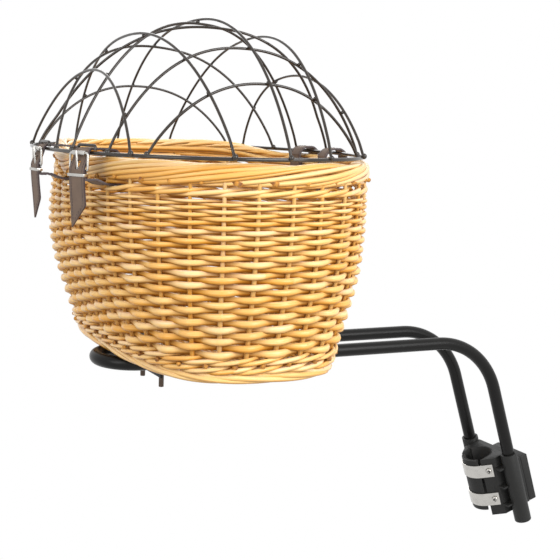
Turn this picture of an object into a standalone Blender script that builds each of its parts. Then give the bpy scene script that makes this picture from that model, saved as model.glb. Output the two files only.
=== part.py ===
"""Rear dog basket for a bicycle: wicker basket, hinged wire dome, bow and seat-tube bracket.

Metres, +Z up, +X towards the front of the bicycle. The origin is on the seat tube's axis,
midway between the two clamp bands. The basket stands behind the seat tube on a bent tube.
"""
import bpy
import bmesh
from math import atan2, copysign, cos, pi, radians, sin, tan
from mathutils import Matrix, Vector

# Allowances shared by all pieces
GAP = 0.0003
OVERRUN = 0.004
ROUND_SIDES = 20
SMALL_SIDES = 12
SOCKET_SIDES = 32
SLEEVE_SIDES = 16

# Where the basket stands against the seat tube
TUBE_LEAN = radians(18)
SEAT_TUBE_DIAMETER = 0.0349
BASKET_REACH = 0.439
BASKET_RISE = 0.2098

# Wicker basket
TOP_HALF_X = 0.172
TOP_HALF_Y = 0.244
TOP_POWER = 2.2
BOTTOM_HALF_X = 0.116
BOTTOM_HALF_Y = 0.210
BOTTOM_POWER = 3.1
FLARE_HEIGHT = 0.175
FLARE_POWER = 1.25
WALL_INSET = 0.002
WALL_THICKNESS = 0.013
BORDER_HEIGHT = 0.0264
BORDER_DEPTH = 0.020
FOOT_HEIGHT = 0.012
FOOT_DEPTH = 0.014
FLOOR_HEIGHT = 0.003
FLOOR_THICKNESS = 0.008
OVAL_SIDES = 48
OVAL_STEPS = 720
ROLL_SIDES = 8
HALVINGS = 40

# Weave of the wall: courses go in front of one stake and behind the next
STAKES = 36
STAKE_PHASE_SHARE = -0.03
WALE_HEIGHT = 0.0202
TOP_WALE_HEIGHT = 0.0118
COURSE_PITCH = 0.00705
COURSE_THINNING = 0.0020
COURSE_TIPS = 0.0024
COURSE_DEPTH = 0.006

# Dome lid
RING_HEIGHT = 0.235
RING_WIRE = 0.006
RING_SETBACK = 0.013
RING_PROUD_X = 0.005
RING_SHY_Y = 0.004
RING_SIDES = 56
RING_STEP = 0.25
DOME_HEIGHT = 0.1475
DOME_SWELL_POWER = 2.4
DOME_CROWN_POWER = 0.87
DOME_TILT_SHARE = -0.12
DOME_LEAN_SHARE = -0.02
ARCH_WIRE = 0.0038
ARCH_STEPS = 22
WELD_GAP = 0.0008
INNER_RAMP = 20
FOOT_RISE = 0.011
GUIDE_WIRE = 0.0035
GUIDE_RISE = 0.0047
GUIDE_CORNER = 0.003
# Ring angles of both feet in degrees, the plan path's bulge as a share of its length, and
# how much more of that bulge lies towards the second foot
ACROSS_WIRES = {
    "arch_across_1": (221.8, 147.0, -0.049, 0.4),
    "arch_across_2": (254.9, 110.5, 0.048, -0.1),
    "arch_across_3": (271.3, 91.0, 0.013, 1.7),
    "arch_across_4": (286.5, 70.5, -0.023, 0.4),
    "arch_across_5": (314.0, 38.0, 0.033, 0.7),
}
ALONG_WIRES = {
    "arch_along_1": (139.4, 43.8, 0.026, -0.5),
    "arch_along_2": (186.2, 22.5, 0.170, -0.7),
    "arch_along_3": (195.4, 10.8, -0.035, 0.0),
    "arch_along_5": (212.0, 331.0, -0.054, 1.5),
    "arch_along_6": (226.5, 310.0, -0.025, -0.9),
}
# This wire crosses two of those along the basket and is laid inside them
INNER_WIRES = {
    "arch_along_4": (170.0, 356.3, -0.200, 1.6),
}

# Bow
ROD_DIAMETER = 0.016
ROD_SPACING = 0.084
BOW_TAIL = 0.131
BOW_BEND_RADIUS = 0.095
BOW_BEND_STEPS = 9
BOW_TURN_STEPS = 16
NOTCH_DEPTH = 0.0022
NOTCH_HEIGHT = 0.012
NOTCH_WIDTH = 0.016

# Plates and bolts that clamp the basket on the bow
PLATE_X_SHARES = (-0.32, 0.35)
PLATE_WIDTH = 0.020
PLATE_LENGTH = 0.104
PLATE_THICKNESS = 0.0025
CHANNEL_DEPTH = 0.008
INNER_PLATE_LENGTH = 0.090
BOLT_SPACING = 0.060
BOLT_DIAMETER = 0.006
BOLT_DROP = 0.040
BOLT_HEAD_DIAMETER = 0.013
BOLT_HEAD_HEIGHT = 0.0035
NUT_FLATS = 0.010
NUT_HEIGHT = 0.005

# Straps and buckles
STRAP_WIDTH = 0.022
STRAP_THICKNESS = 0.002
STRAP_STEPS = 3
CLOSURE_STRAPS = {"1": (203.7, radians(9)), "2": (180.0, radians(4))}
HINGE_STRAPS = {"1": (6.5, 0.0), "2": (352.5, 0.0)}
SLOT_DROP = 0.0068
SLOT_SHIFT = 0.020
SLOT_CLEARANCE = 0.0012
TAIL_LENGTH = 0.054
TAIL_TAPER = 0.024
HINGE_TAIL_DROP = 0.050
HINGE_LAP = 0.020
RIVET_DIAMETER = 0.004
RIVET_HEAD_DIAMETER = 0.008
RIVET_HEAD_HEIGHT = 0.0012
BUCKLE_WIRE = 0.0026
BUCKLE_HEIGHT = 0.018
BUCKLE_SIDE_ROOM = 0.0009
BUCKLE_CORNER = 0.0025
ROLLER_DIAMETER = 0.0048
PRONG_WIRE = 0.0022
PRONG_EYE_DIAMETER = 0.0056
PRONG_EYE_WIDTH = 0.0036
PRONG_SLOT_WIDTH = 0.005
PRONG_SLOT_TOP_SHARE = 0.45
KEEPER_HEIGHT = 0.0032
KEEPER_WALL = 0.0008

# Bracket on the seat tube, in its own frame: x forward from the tube's axis, z along it
SOCKET_FORWARD = 0.0195
SOCKET_DIAMETER = 0.022
SOCKET_BORE = 0.0166
SOCKET_TOP = 0.042
SOCKET_BOTTOM = -0.057
SOCKET_FLOOR = 0.004
DRAIN_DIAMETER = 0.005
LEG_END_ROOM = 0.003
LINER_THICKNESS = 0.0013
BRACKET_TOP = 0.038
BRACKET_BOTTOM = -0.045
CRADLE_WALL = 0.0048
FLANGE_HALF_Y = 0.0311
BODY_FRONT = 0.027
RIB_THICKNESS = 0.0025
RIB_COUNT = 3
RIB_BACK = 0.001
HOUSING_HALF_Y = 0.0305
HOUSING_TOP = 0.022
HOUSING_BOTTOM = -0.045
HOUSING_FRONT = 0.044
HOUSING_WALL = 0.0035
COVER_FRONT = 0.056
COVER_WALL = 0.003
EDGE_ROUND = 0.0015

# Clamp
SHELL_HALF_ANGLE = radians(50)
SHELL_STEPS = 14
LINER_HALF_ANGLE = radians(84)
SHELL_WALL = 0.003
SHELL_HALF_HEIGHT = 0.037
BAND_SPACING = 0.042
BAND_WIDTH = 0.018
BAND_THICKNESS = 0.0012
EAR_LENGTH = 0.018
EAR_SCREW_SHARE = 0.66
CLAMP_SCREW_DIAMETER = 0.004
CLAMP_SCREW_HEAD = 0.0082
CLAMP_SCREW_HEAD_HEIGHT = 0.0024
CLAMP_SCREW_DEPTH = 0.006
RECESS_WIDTH = 0.0012
RECESS_DEPTH = 0.0013
HEAD_FLAT_SHARE = 0.6
HEAD_ROUND_SHARES = (0.92, 0.75)
RECESS_SHARE = 0.55

# Release button and locking leaf
BUTTON_DIAMETER = 0.018
BUTTON_HEIGHT = -0.003
BUTTON_PROUD = 0.006
BUTTON_FLANGE_DIAMETER = 0.023
BUTTON_FLANGE_THICKNESS = 0.002
BUTTON_TRAVEL = 0.004
LEAF_THICKNESS = 0.0008
LEAF_HEIGHT = 0.009
LEAF_FORWARD = 0.037
LEAF_TIP_FORWARD = 0.022
LEAF_TIP_BITE = 0.0012
LEAF_SHARES = ((1, 0), (0.86, 0.10), (0.62, 0.45), (0.32, 0.92), (0, 1))
COVER_SCREW_DIAMETER = 0.003
COVER_SCREW_HEAD = 0.0055
COVER_SCREW_HEAD_HEIGHT = 0.0018
COVER_SCREW_LENGTH = 0.012
COVER_BOSS = 0.007

# Lengths that follow from those above
BORDER_TOP = RING_HEIGHT - RING_WIRE / 2 - GAP
BORDER_BOTTOM = BORDER_TOP - BORDER_HEIGHT
RING_HALF_X = TOP_HALF_X + RING_PROUD_X
RING_HALF_Y = TOP_HALF_Y - RING_SHY_Y
ROD_CENTRE = -ROD_DIAMETER / 2 - GAP
RING_FRONT = RING_HALF_X - RING_SETBACK
LINER_INNER = SEAT_TUBE_DIAMETER / 2 + GAP
CRADLE_INNER = LINER_INNER + LINER_THICKNESS + GAP
CRADLE_OUTER = CRADLE_INNER + CRADLE_WALL
SHELL_OUTER = CRADLE_INNER + SHELL_WALL
BAND_INNER = SHELL_OUTER + GAP

pieces = None
cutters = None


def clear_scene():
    """Remove whatever the scene holds, and make the two collections."""
    global pieces, cutters
    for thing in list(bpy.data.objects):
        bpy.data.objects.remove(thing)
    pieces = bpy.data.collections.new("dog_bicycle_basket")
    cutters = bpy.data.collections.new("cutters")
    bpy.context.scene.collection.children.link(pieces)
    bpy.context.scene.collection.children.link(cutters)


# Materials

def material(name, colour, roughness, metallic=0.0):
    """A Principled material with its colour, roughness and metallic value."""
    made = bpy.data.materials.get(name)
    if made is None:
        made = bpy.data.materials.new(name)
        made.use_nodes = True
        shader = made.node_tree.nodes["Principled BSDF"]
        shader.inputs["Base Color"].default_value = (*colour, 1.0)
        shader.inputs["Roughness"].default_value = roughness
        shader.inputs["Metallic"].default_value = metallic
        made.diffuse_color = (*colour, 1.0)
    return made


def willow():
    return material("willow", (0.70, 0.43, 0.16), 0.50)


def dark_wire():
    return material("dark_wire", (0.035, 0.030, 0.027), 0.35, 0.4)


def black_tube():
    return material("black_tube", (0.020, 0.020, 0.020), 0.38, 0.3)


def black_plastic():
    return material("black_plastic", (0.030, 0.030, 0.031), 0.60)


def black_rubber():
    return material("black_rubber", (0.018, 0.018, 0.018), 0.80)


def plated_steel():
    return material("plated_steel", (0.78, 0.76, 0.72), 0.25, 1.0)


def taupe_leather():
    return material("taupe_leather", (0.16, 0.12, 0.11), 0.65)


# Frames that the pieces stand in

def empty(name, location, rotation=(0, 0, 0), parent=None):
    """An empty that carries a group of pieces."""
    made = bpy.data.objects.new(name, None)
    pieces.objects.link(made)
    made.location = location
    made.rotation_euler = rotation
    made.parent = parent
    return made


def bracket_to_basket(x, y, z):
    """A point of the bracket's frame, told in the basket's frame."""
    along = Matrix.Rotation(-TUBE_LEAN, 3, "Y") @ Vector((x, y, z))
    return along + Vector((BASKET_REACH, 0, -BASKET_RISE))


# Ways to make a piece

def finish(thing, parent, finish_material, location=(0, 0, 0)):
    """Give a piece its material and its place under its parent."""
    thing.data.materials.clear()
    thing.data.materials.append(finish_material)
    thing.parent = parent
    thing.location = Vector(thing.location) + Vector(location)
    return thing


def as_cutter(thing, parent=None):
    """Turn an object into one that only cuts or joins."""
    for home in list(thing.users_collection):
        home.objects.unlink(thing)
    cutters.objects.link(thing)
    thing.hide_render = True
    thing.display_type = "WIRE"
    if parent is not None:
        thing.parent = parent
    return thing


def from_bmesh(name, made):
    """An object from a bmesh."""
    mesh = bpy.data.meshes.new(name)
    bmesh.ops.recalc_face_normals(made, faces=made.faces)
    made.to_mesh(mesh)
    made.free()
    thing = bpy.data.objects.new(name, mesh)
    pieces.objects.link(thing)
    return thing


def smooth(thing, angle=radians(35)):
    """Shade a round piece smooth, keeping its sharp edges."""
    thing.data.shade_smooth()
    thing.data.set_sharp_from_angle(angle=angle)
    return thing


def block(name, low, high):
    """A box between two corners."""
    made = bmesh.new()
    bmesh.ops.create_cube(made, size=1)
    size = [b - a for a, b in zip(low, high)]
    middle = [(a + b) / 2 for a, b in zip(low, high)]
    bmesh.ops.scale(made, vec=size, verts=made.verts)
    bmesh.ops.translate(made, vec=middle, verts=made.verts)
    return from_bmesh(name, made)


def rod(name, start, end, radius, sides=ROUND_SIDES, end_radius=None):
    """A round bar, or a cone, from one point to another."""
    start, end = Vector(start), Vector(end)
    made = bmesh.new()
    bmesh.ops.create_cone(made, cap_ends=True, segments=sides, radius1=radius,
                          radius2=radius if end_radius is None else end_radius,
                          depth=(end - start).length)
    turn = (end - start).to_track_quat("Z", "Y").to_matrix().to_4x4()
    bmesh.ops.transform(made, matrix=Matrix.Translation((start + end) / 2) @ turn, verts=made.verts)
    return smooth(from_bmesh(name, made))


def to_mesh_object(curve_object):
    """The mesh that a curve object makes, as a new object with its caps welded."""
    bpy.context.view_layer.update()
    shown = curve_object.evaluated_get(bpy.context.evaluated_depsgraph_get())
    mesh = bpy.data.meshes.new_from_object(shown)
    made = bmesh.new()
    made.from_mesh(mesh)
    bmesh.ops.remove_doubles(made, verts=made.verts, dist=GAP / 10)
    bmesh.ops.recalc_face_normals(made, faces=made.faces)
    made.to_mesh(mesh)
    made.free()
    name = curve_object.name
    thing = bpy.data.objects.new(name, mesh)
    pieces.objects.link(thing)
    thing.matrix_world = curve_object.matrix_world.copy()
    bpy.data.objects.remove(curve_object)
    thing.name = name
    return thing


def wire(name, points, diameter, closed=False, resolution=2):
    """A round wire along a run of points."""
    curve = bpy.data.curves.new(name, "CURVE")
    curve.dimensions = "3D"
    curve.bevel_depth = diameter / 2
    curve.bevel_resolution = resolution
    curve.use_fill_caps = not closed
    spline = curve.splines.new("POLY")
    spline.points.add(len(points) - 1)
    for spot, point in zip(spline.points, points):
        spot.co = (*point, 1)
    spline.use_cyclic_u = closed
    thing = bpy.data.objects.new(name, curve)
    pieces.objects.link(thing)
    return thing


def flat(name, outline, thickness):
    """A flat piece: an outline in x and y, as thick as told, centred on z = 0."""
    curve = bpy.data.curves.new(name, "CURVE")
    curve.dimensions = "2D"
    curve.fill_mode = "BOTH"
    curve.extrude = thickness / 2
    spline = curve.splines.new("POLY")
    spline.points.add(len(outline) - 1)
    for spot, point in zip(spline.points, outline):
        spot.co = (point[0], point[1], 0, 1)
    spline.use_cyclic_u = True
    thing = bpy.data.objects.new(name, curve)
    pieces.objects.link(thing)
    return to_mesh_object(thing)


def loft(name, rings):
    """A closed skin through rings of points, the last ring joined to the first."""
    made = bmesh.new()
    rows = [[made.verts.new(point) for point in ring] for ring in rings]
    for row, after in zip(rows, rows[1:] + rows[:1]):
        for i in range(len(row)):
            j = (i + 1) % len(row)
            made.faces.new((row[i], row[j], after[j], after[i]))
    return smooth(from_bmesh(name, made))


def ribbon(name, rows, thickness):
    """A strip of even thickness through pairs of edge points."""
    made = bmesh.new()
    pairs = [[made.verts.new(point) for point in pair] for pair in rows]
    for (a, b), (c, d) in zip(pairs, pairs[1:]):
        made.faces.new((a, b, d, c))
    thing = smooth(from_bmesh(name, made))
    solid = thing.modifiers.new("thickness", "SOLIDIFY")
    solid.thickness = thickness
    solid.offset = 0
    solid.use_even_offset = True
    return thing


def cut(thing, cutter, operation="DIFFERENCE"):
    """Cut or join one object with another, which moves to the cutters."""
    as_cutter(cutter)
    change = thing.modifiers.new(cutter.name, "BOOLEAN")
    change.operation = operation
    change.solver = "EXACT"
    change.object = cutter
    return thing


def join(thing, other):
    return cut(thing, other, "UNION")


def at_once(thing, other, operation):
    """Cut or join a mesh now, and remove the other object."""
    change = thing.modifiers.new(operation, "BOOLEAN")
    change.operation = operation
    change.solver = "EXACT"
    change.object = other
    bpy.context.view_layer.update()
    shown = thing.evaluated_get(bpy.context.evaluated_depsgraph_get())
    mesh = bpy.data.meshes.new_from_object(shown)
    thing.modifiers.clear()
    thing.data = mesh
    bpy.data.objects.remove(other)
    return thing


def soften(thing, width):
    """Round the sharp edges of a piece."""
    edge = thing.modifiers.new("edges", "BEVEL")
    edge.width = width
    edge.segments = 2
    edge.limit_method = "ANGLE"
    edge.angle_limit = radians(40)
    return thing


def arc(centre, radius, start, end, steps):
    """Points in x and y along an arc."""
    turns = [start + (end - start) * i / steps for i in range(steps + 1)]
    return [(centre[0] + radius * cos(a), centre[1] + radius * sin(a)) for a in turns]


def smooth_route(points, steps):
    """A smooth run through the points, with more of them between."""
    ends = [points[0] * 2 - points[1]] + points + [points[-1] * 2 - points[-2]]
    route = []
    for a, b, c, d in zip(ends, ends[1:], ends[2:], ends[3:]):
        for i in range(steps):
            t = i / steps
            route.append((b * 2 + (c - a) * t + (a * 2 - b * 5 + c * 4 - d) * t ** 2
                          + (b * 3 - a - c * 3 + d) * t ** 3) / 2)
    return route + [points[-1]]


# Plan shape of the basket and the ring

def oval(half_x, half_y, power, turn):
    """The point of a rounded oval at an angle."""
    c, s = cos(turn), sin(turn)
    return Vector((half_x * copysign(abs(c) ** (2 / power), c),
                   half_y * copysign(abs(s) ** (2 / power), s)))


def oval_ring(half_x, half_y, power, height):
    """Points round an oval at one height."""
    turns = [2 * pi * i / OVAL_SIDES for i in range(OVAL_SIDES)]
    return [(*oval(half_x, half_y, power, turn), height) for turn in turns]


def flare(height):
    """Half sizes and power of the wall's outer face at a height above the underside."""
    share = sin(pi / 2 * min(max(height / FLARE_HEIGHT, 0), 1)) ** FLARE_POWER
    half_x = BOTTOM_HALF_X + share * (TOP_HALF_X - WALL_INSET - BOTTOM_HALF_X)
    half_y = BOTTOM_HALF_Y + share * (TOP_HALF_Y - WALL_INSET - BOTTOM_HALF_Y)
    return half_x, half_y, BOTTOM_POWER + share * (TOP_POWER - BOTTOM_POWER)


def reach_to_oval(spot, heading, half_x, half_y, power):
    """How far an oval lies from a spot along a heading; negative when it lies behind."""
    near, far = -TOP_HALF_X, TOP_HALF_X
    for _ in range(HALVINGS):
        middle = (near + far) / 2
        point = spot + heading * middle
        inside = abs(point.x / half_x) ** power + abs(point.y / half_y) ** power < 1
        near, far = (middle, far) if inside else (near, middle)
    return near


# Basket

def stake_places(height):
    """Where the stakes stand round the wall's outer face at a height, with the outward way."""
    half_x, half_y, power = flare(height)
    steps = [oval(half_x, half_y, power, 2 * pi * i / OVAL_STEPS) for i in range(OVAL_STEPS + 1)]
    run = [0.0]
    for a, b in zip(steps, steps[1:]):
        run.append(run[-1] + (b - a).length)
    places = []
    for stake in range(STAKES):
        along = run[-1] * ((stake + STAKE_PHASE_SHARE) / STAKES % 1)
        i = next(j for j in range(OVAL_STEPS) if run[j + 1] >= along)
        edge = steps[i + 1] - steps[i]
        spot = steps[i] + edge * (along - run[i]) / (run[i + 1] - run[i])
        places.append((spot, Vector((edge.y, -edge.x)).normalized()))
    return places


def course_heights():
    """Middle heights of the courses, which thin towards the rods' tips at the top."""
    low, high = FOOT_HEIGHT + WALE_HEIGHT, BORDER_BOTTOM - TOP_WALE_HEIGHT
    heights = [low]
    while heights[-1] < high:
        share = (heights[-1] - low) / (high - low)
        heights.append(heights[-1] + COURSE_PITCH - COURSE_THINNING * share - COURSE_TIPS * share ** 5)
    return heights[:-1]


def basket_wall(parent, stations):
    """The woven wall: plain rows at both rims, the courses between, and the four strap slots."""
    courses = course_heights()
    plain_low = [FOOT_HEIGHT + GAP, courses[0] - COURSE_PITCH / 2]
    plain_high = [courses[-1] + COURSE_PITCH / 3, BORDER_BOTTOM - GAP]
    outer = []
    inner = []
    for row, height in enumerate(plain_low + courses + plain_high):
        woven = height in courses
        half_swing = (WALL_THICKNESS - COURSE_DEPTH) / 2 if woven else 0
        half_depth = COURSE_DEPTH / 2 if woven else WALL_THICKNESS / 2
        front, back = [], []
        for stake, (spot, outward) in enumerate(stake_places(height)):
            side = 1 if (stake + row) % 2 else -1
            middle = half_swing * side - WALL_THICKNESS / 2
            front.append((*(spot + outward * (middle + half_depth)), height))
            back.append((*(spot + outward * (middle - half_depth)), height))
        outer.append(front)
        inner.append(back)
    wall = loft("basket_wall", outer + inner[::-1])
    for station in stations:
        cut(wall, station.wall_slot(parent))
    return finish(wall, parent, willow())


def rolled_rim(name, parent, half_x, half_y, power, depth, height, middle):
    """A rolled rim: an oval section carried round the basket."""
    rings = []
    for i in range(ROLL_SIDES):
        turn = 2 * pi * i / ROLL_SIDES
        inset = depth / 2 - depth / 2 * cos(turn)
        rings.append(oval_ring(half_x - inset, half_y - inset, power,
                               middle + height / 2 * sin(turn)))
    return finish(loft(name, rings), parent, willow())


def basket_border(parent):
    return rolled_rim("basket_border", parent, TOP_HALF_X, TOP_HALF_Y, TOP_POWER,
                      BORDER_DEPTH, BORDER_HEIGHT, BORDER_TOP - BORDER_HEIGHT / 2)


def basket_foot(parent):
    return rolled_rim("basket_foot", parent, BOTTOM_HALF_X, BOTTOM_HALF_Y, BOTTOM_POWER,
                      FOOT_DEPTH, FOOT_HEIGHT, FOOT_HEIGHT / 2)


def basket_floor(parent, bolt_spots):
    """The woven floor, with the bolt holes."""
    inset = FOOT_DEPTH + GAP
    outline = [point[:2] for point in oval_ring(BOTTOM_HALF_X - inset, BOTTOM_HALF_Y - inset,
                                                BOTTOM_POWER, 0)]
    floor = flat("basket_floor", outline, FLOOR_THICKNESS)
    floor.location.z = FLOOR_HEIGHT + FLOOR_THICKNESS / 2
    drill(floor, bolt_spots, parent)
    return finish(floor, parent, willow())


# Bow

def bow_route():
    """Centreline of the bow, from one leg's end round the tail to the other's."""
    radius = ROD_SPACING / 2
    foot = bracket_to_basket(SOCKET_FORWARD, 0, SOCKET_BOTTOM + SOCKET_FLOOR + LEG_END_ROOM)
    corner_x = foot.x - (ROD_CENTRE - foot.z) * tan(TUBE_LEAN)
    half_turn = (pi / 2 - TUBE_LEAN) / 2
    bend_x = corner_x - BOW_BEND_RADIUS * tan(half_turn)
    bend = arc((bend_x, ROD_CENTRE - BOW_BEND_RADIUS), BOW_BEND_RADIUS,
               TUBE_LEAN, pi / 2, BOW_BEND_STEPS)
    side = [(foot.x, foot.z)] + bend
    tail_x = -BOW_TAIL + ROD_DIAMETER / 2 + radius
    tail = arc((tail_x, 0), radius, -pi / 2, -3 * pi / 2, BOW_TURN_STEPS)
    near = [(x, -radius, z) for x, z in side]
    far = [(x, radius, z) for x, z in side[::-1]]
    return near + [(x, y, ROD_CENTRE) for x, y in tail] + far


def bow(parent, bracket):
    """The bent tube that carries the basket, with a notch in each leg for the lock."""
    tube = to_mesh_object(wire("bow", bow_route(), ROD_DIAMETER, resolution=3))
    smooth(tube)
    for side in (-1, 1):
        inner = ROD_SPACING / 2 - ROD_DIAMETER / 2
        ends = sorted((side * (inner - OVERRUN), side * (inner + NOTCH_DEPTH)))
        notch = block("notch_cutter", (SOCKET_FORWARD - NOTCH_WIDTH / 2, ends[0],
                                       BUTTON_HEIGHT - NOTCH_HEIGHT / 2),
                      (SOCKET_FORWARD + NOTCH_WIDTH / 2, ends[1], BUTTON_HEIGHT + NOTCH_HEIGHT / 2))
        notch.parent = bracket
        cut(tube, notch)
    return finish(tube, parent, black_tube())


# Plates, bolts and nuts

def bolt_places():
    """Where the four plate bolts stand, in x and y."""
    return [(share * TOP_HALF_X, side * BOLT_SPACING / 2)
            for share in PLATE_X_SHARES for side in (-1, 1)]


def drill(thing, spots, parent):
    """Bore the bolt holes through a piece."""
    top = FLOOR_HEIGHT + FLOOR_THICKNESS + PLATE_THICKNESS + OVERRUN
    for x, y in spots:
        hole = rod("bolt_hole_cutter", (x, y, -BOLT_DROP), (x, y, top), BOLT_DIAMETER / 2 + GAP)
        hole.parent = parent
        cut(thing, hole)
    return thing


def cross_plate(name, parent, x):
    """A channel across both rods, open downwards, with two bolt holes."""
    half, wall = PLATE_WIDTH / 2, PLATE_THICKNESS
    top = ROD_CENTRE - ROD_DIAMETER / 2 - GAP
    outline = [(-half, top), (half, top), (half, top - CHANNEL_DEPTH),
               (half - wall, top - CHANNEL_DEPTH), (half - wall, top - wall),
               (wall - half, top - wall), (wall - half, top - CHANNEL_DEPTH),
               (-half, top - CHANNEL_DEPTH)]
    plate = flat(name, outline, PLATE_LENGTH)
    plate.rotation_euler.x = pi / 2
    drill(plate, [spot for spot in bolt_places() if abs(spot[0] - x) < PLATE_WIDTH], parent)
    return finish(plate, parent, black_tube(), (x, 0, 0))


def inner_plate(name, parent, x):
    """A flat plate on the floor under two bolt heads."""
    low = FLOOR_HEIGHT + FLOOR_THICKNESS + GAP
    plate = block(name, (x - PLATE_WIDTH / 2, -INNER_PLATE_LENGTH / 2, low),
                  (x + PLATE_WIDTH / 2, INNER_PLATE_LENGTH / 2, low + PLATE_THICKNESS))
    drill(plate, [spot for spot in bolt_places() if abs(spot[0] - x) < PLATE_WIDTH], parent)
    return finish(plate, parent, plated_steel())


def bolt_profile():
    """Half section of a bolt with a domed head, down its outer side."""
    seat = FLOOR_HEIGHT + FLOOR_THICKNESS + PLATE_THICKNESS + 2 * GAP
    top = seat + BOLT_HEAD_HEIGHT
    head, shank = BOLT_HEAD_DIAMETER / 2, BOLT_DIAMETER / 2
    crown = [(head * sin(a), seat + BOLT_HEAD_HEIGHT * cos(a))
             for a in (pi / 6, pi / 3, pi / 2)]
    return [(0, top)] + crown + [(shank, seat), (shank, -BOLT_DROP), (0, -BOLT_DROP)]


def copy_of(thing, name):
    """Another object with the same mesh."""
    made = bpy.data.objects.new(name, thing.data)
    pieces.objects.link(made)
    return made


def turned(name, profile, sides=ROUND_SIDES):
    """A turned solid: a half section in x and z, spun about the z axis."""
    made = bmesh.new()
    spots = [made.verts.new((x, 0, z)) for x, z in profile]
    edges = [made.edges.new(pair) for pair in zip(spots, spots[1:])]
    bmesh.ops.spin(made, geom=spots + edges, cent=(0, 0, 0), axis=(0, 0, 1),
                   angle=2 * pi, steps=sides, use_merge=True)
    bmesh.ops.remove_doubles(made, verts=made.verts, dist=GAP / 10)
    return smooth(from_bmesh(name, made))


def plate_bolts(parent):
    """Four dome-headed bolts that share one mesh."""
    first = turned("plate_bolt_1", bolt_profile(), SMALL_SIDES)
    for number, (x, y) in enumerate(bolt_places(), 1):
        bolt = first if number == 1 else copy_of(first, f"plate_bolt_{number}")
        finish(bolt, parent, plated_steel(), (x, y, 0))


def plate_nut(name):
    """A hexagon nut, its top on z = 0."""
    outer = rod(name, (0, 0, -NUT_HEIGHT), (0, 0, 0), NUT_FLATS / 2 / cos(pi / 6), 6)
    bore = rod("nut_bore_cutter", (0, 0, -NUT_HEIGHT - OVERRUN), (0, 0, OVERRUN),
               BOLT_DIAMETER / 2 + GAP, SLEEVE_SIDES)
    return at_once(outer, bore, "DIFFERENCE")


def plate_nuts(parent):
    """Four nuts inside the channels, under their webs."""
    top = ROD_CENTRE - ROD_DIAMETER / 2 - PLATE_THICKNESS - 2 * GAP
    first = plate_nut("plate_nut_1")
    for number, (x, y) in enumerate(bolt_places(), 1):
        nut = first if number == 1 else copy_of(first, f"plate_nut_{number}")
        finish(nut, parent, plated_steel(), (x, y, top))


# Dome lid

def ring_point(degrees, outward=0.0):
    """A point of the lid's ring in x and y, moved outward along its normal."""
    turn = radians(degrees)
    spot = oval(RING_HALF_X, RING_HALF_Y, TOP_POWER, turn)
    return spot - Vector((RING_SETBACK, 0)) + ring_normal(degrees) * outward


def ring_normal(degrees):
    """Outward direction of the ring at an angle."""
    spot = oval(RING_HALF_X, RING_HALF_Y, TOP_POWER, radians(degrees))
    slope = Vector((copysign(abs(spot.x / RING_HALF_X) ** (TOP_POWER - 1), spot.x) / RING_HALF_X,
                    copysign(abs(spot.y / RING_HALF_Y) ** (TOP_POWER - 1), spot.y) / RING_HALF_Y))
    return slope.normalized()


def dome_height(x, y):
    """Height of the dome's surface above the ring at a place in plan."""
    across = abs((x + RING_SETBACK) / RING_HALF_X) ** TOP_POWER
    spread = min((across + abs(y / RING_HALF_Y) ** TOP_POWER) ** (1 / TOP_POWER), 1)
    crown = (1 - spread ** DOME_SWELL_POWER) ** DOME_CROWN_POWER
    lean = 1 + DOME_TILT_SHARE * y / RING_HALF_Y + DOME_LEAN_SHARE * (x + RING_SETBACK) / RING_HALF_X
    return DOME_HEIGHT * crown * lean


def dome_normal(x, y):
    """Outward direction of the dome's surface."""
    step = RING_WIRE / 4
    slope_x = (dome_height(x + step, y) - dome_height(x - step, y)) / (2 * step)
    slope_y = (dome_height(x, y + step) - dome_height(x, y - step)) / (2 * step)
    return Vector((-slope_x, -slope_y, 1)).normalized()


def arch_route(start, end, bulge_share, skew_share, side, inner=False):
    """Centreline of one dome wire, laid on the outer or inner side of the dome's surface."""
    first, last = ring_point(start), ring_point(end)
    chord = last - first
    aside = Vector((-chord.y, chord.x)).normalized() * chord.length * bulge_share
    layer = (ARCH_WIRE + WELD_GAP) / 2
    route = []
    for i in range(1, ARCH_STEPS):
        share = (1 - cos(pi * i / ARCH_STEPS)) / 2
        bulge = 4 * share * (1 - share) * (1 + skew_share * (share - 0.5))
        spot = first + chord * share + aside * bulge
        height = dome_height(spot.x, spot.y)
        if height < FOOT_RISE:
            continue
        offset = side * layer
        if inner:
            offset -= 2 * layer * min(1, INNER_RAMP * share * (1 - share))
        route.append(Vector((*spot, RING_HEIGHT + height)) + dome_normal(*spot) * offset)
    low = RING_HEIGHT + RING_WIRE / 2 + GAP
    feet = [[Vector((*ring_point(degrees, side * layer), height))
             for height in (low, low + ARCH_WIRE)] for degrees in (start, end)]
    return feet[0] + route + feet[1][::-1]


def dome_wires(parent, place):
    """All eleven dome wires, each its own piece."""
    for names, side, inner in ((ACROSS_WIRES, 1, False), (ALONG_WIRES, -1, False),
                               (INNER_WIRES, -1, True)):
        for name, shape in names.items():
            arch = wire(name, arch_route(*shape, side, inner), ARCH_WIRE)
            finish(arch, parent, dark_wire(), place)


def dome_ring(parent, place):
    turns = [360 * i / RING_SIDES for i in range(RING_SIDES)]
    points = [(*ring_point(turn), RING_HEIGHT) for turn in turns]
    return finish(wire("dome_ring", points, RING_WIRE, closed=True), parent, dark_wire(), place)


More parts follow.
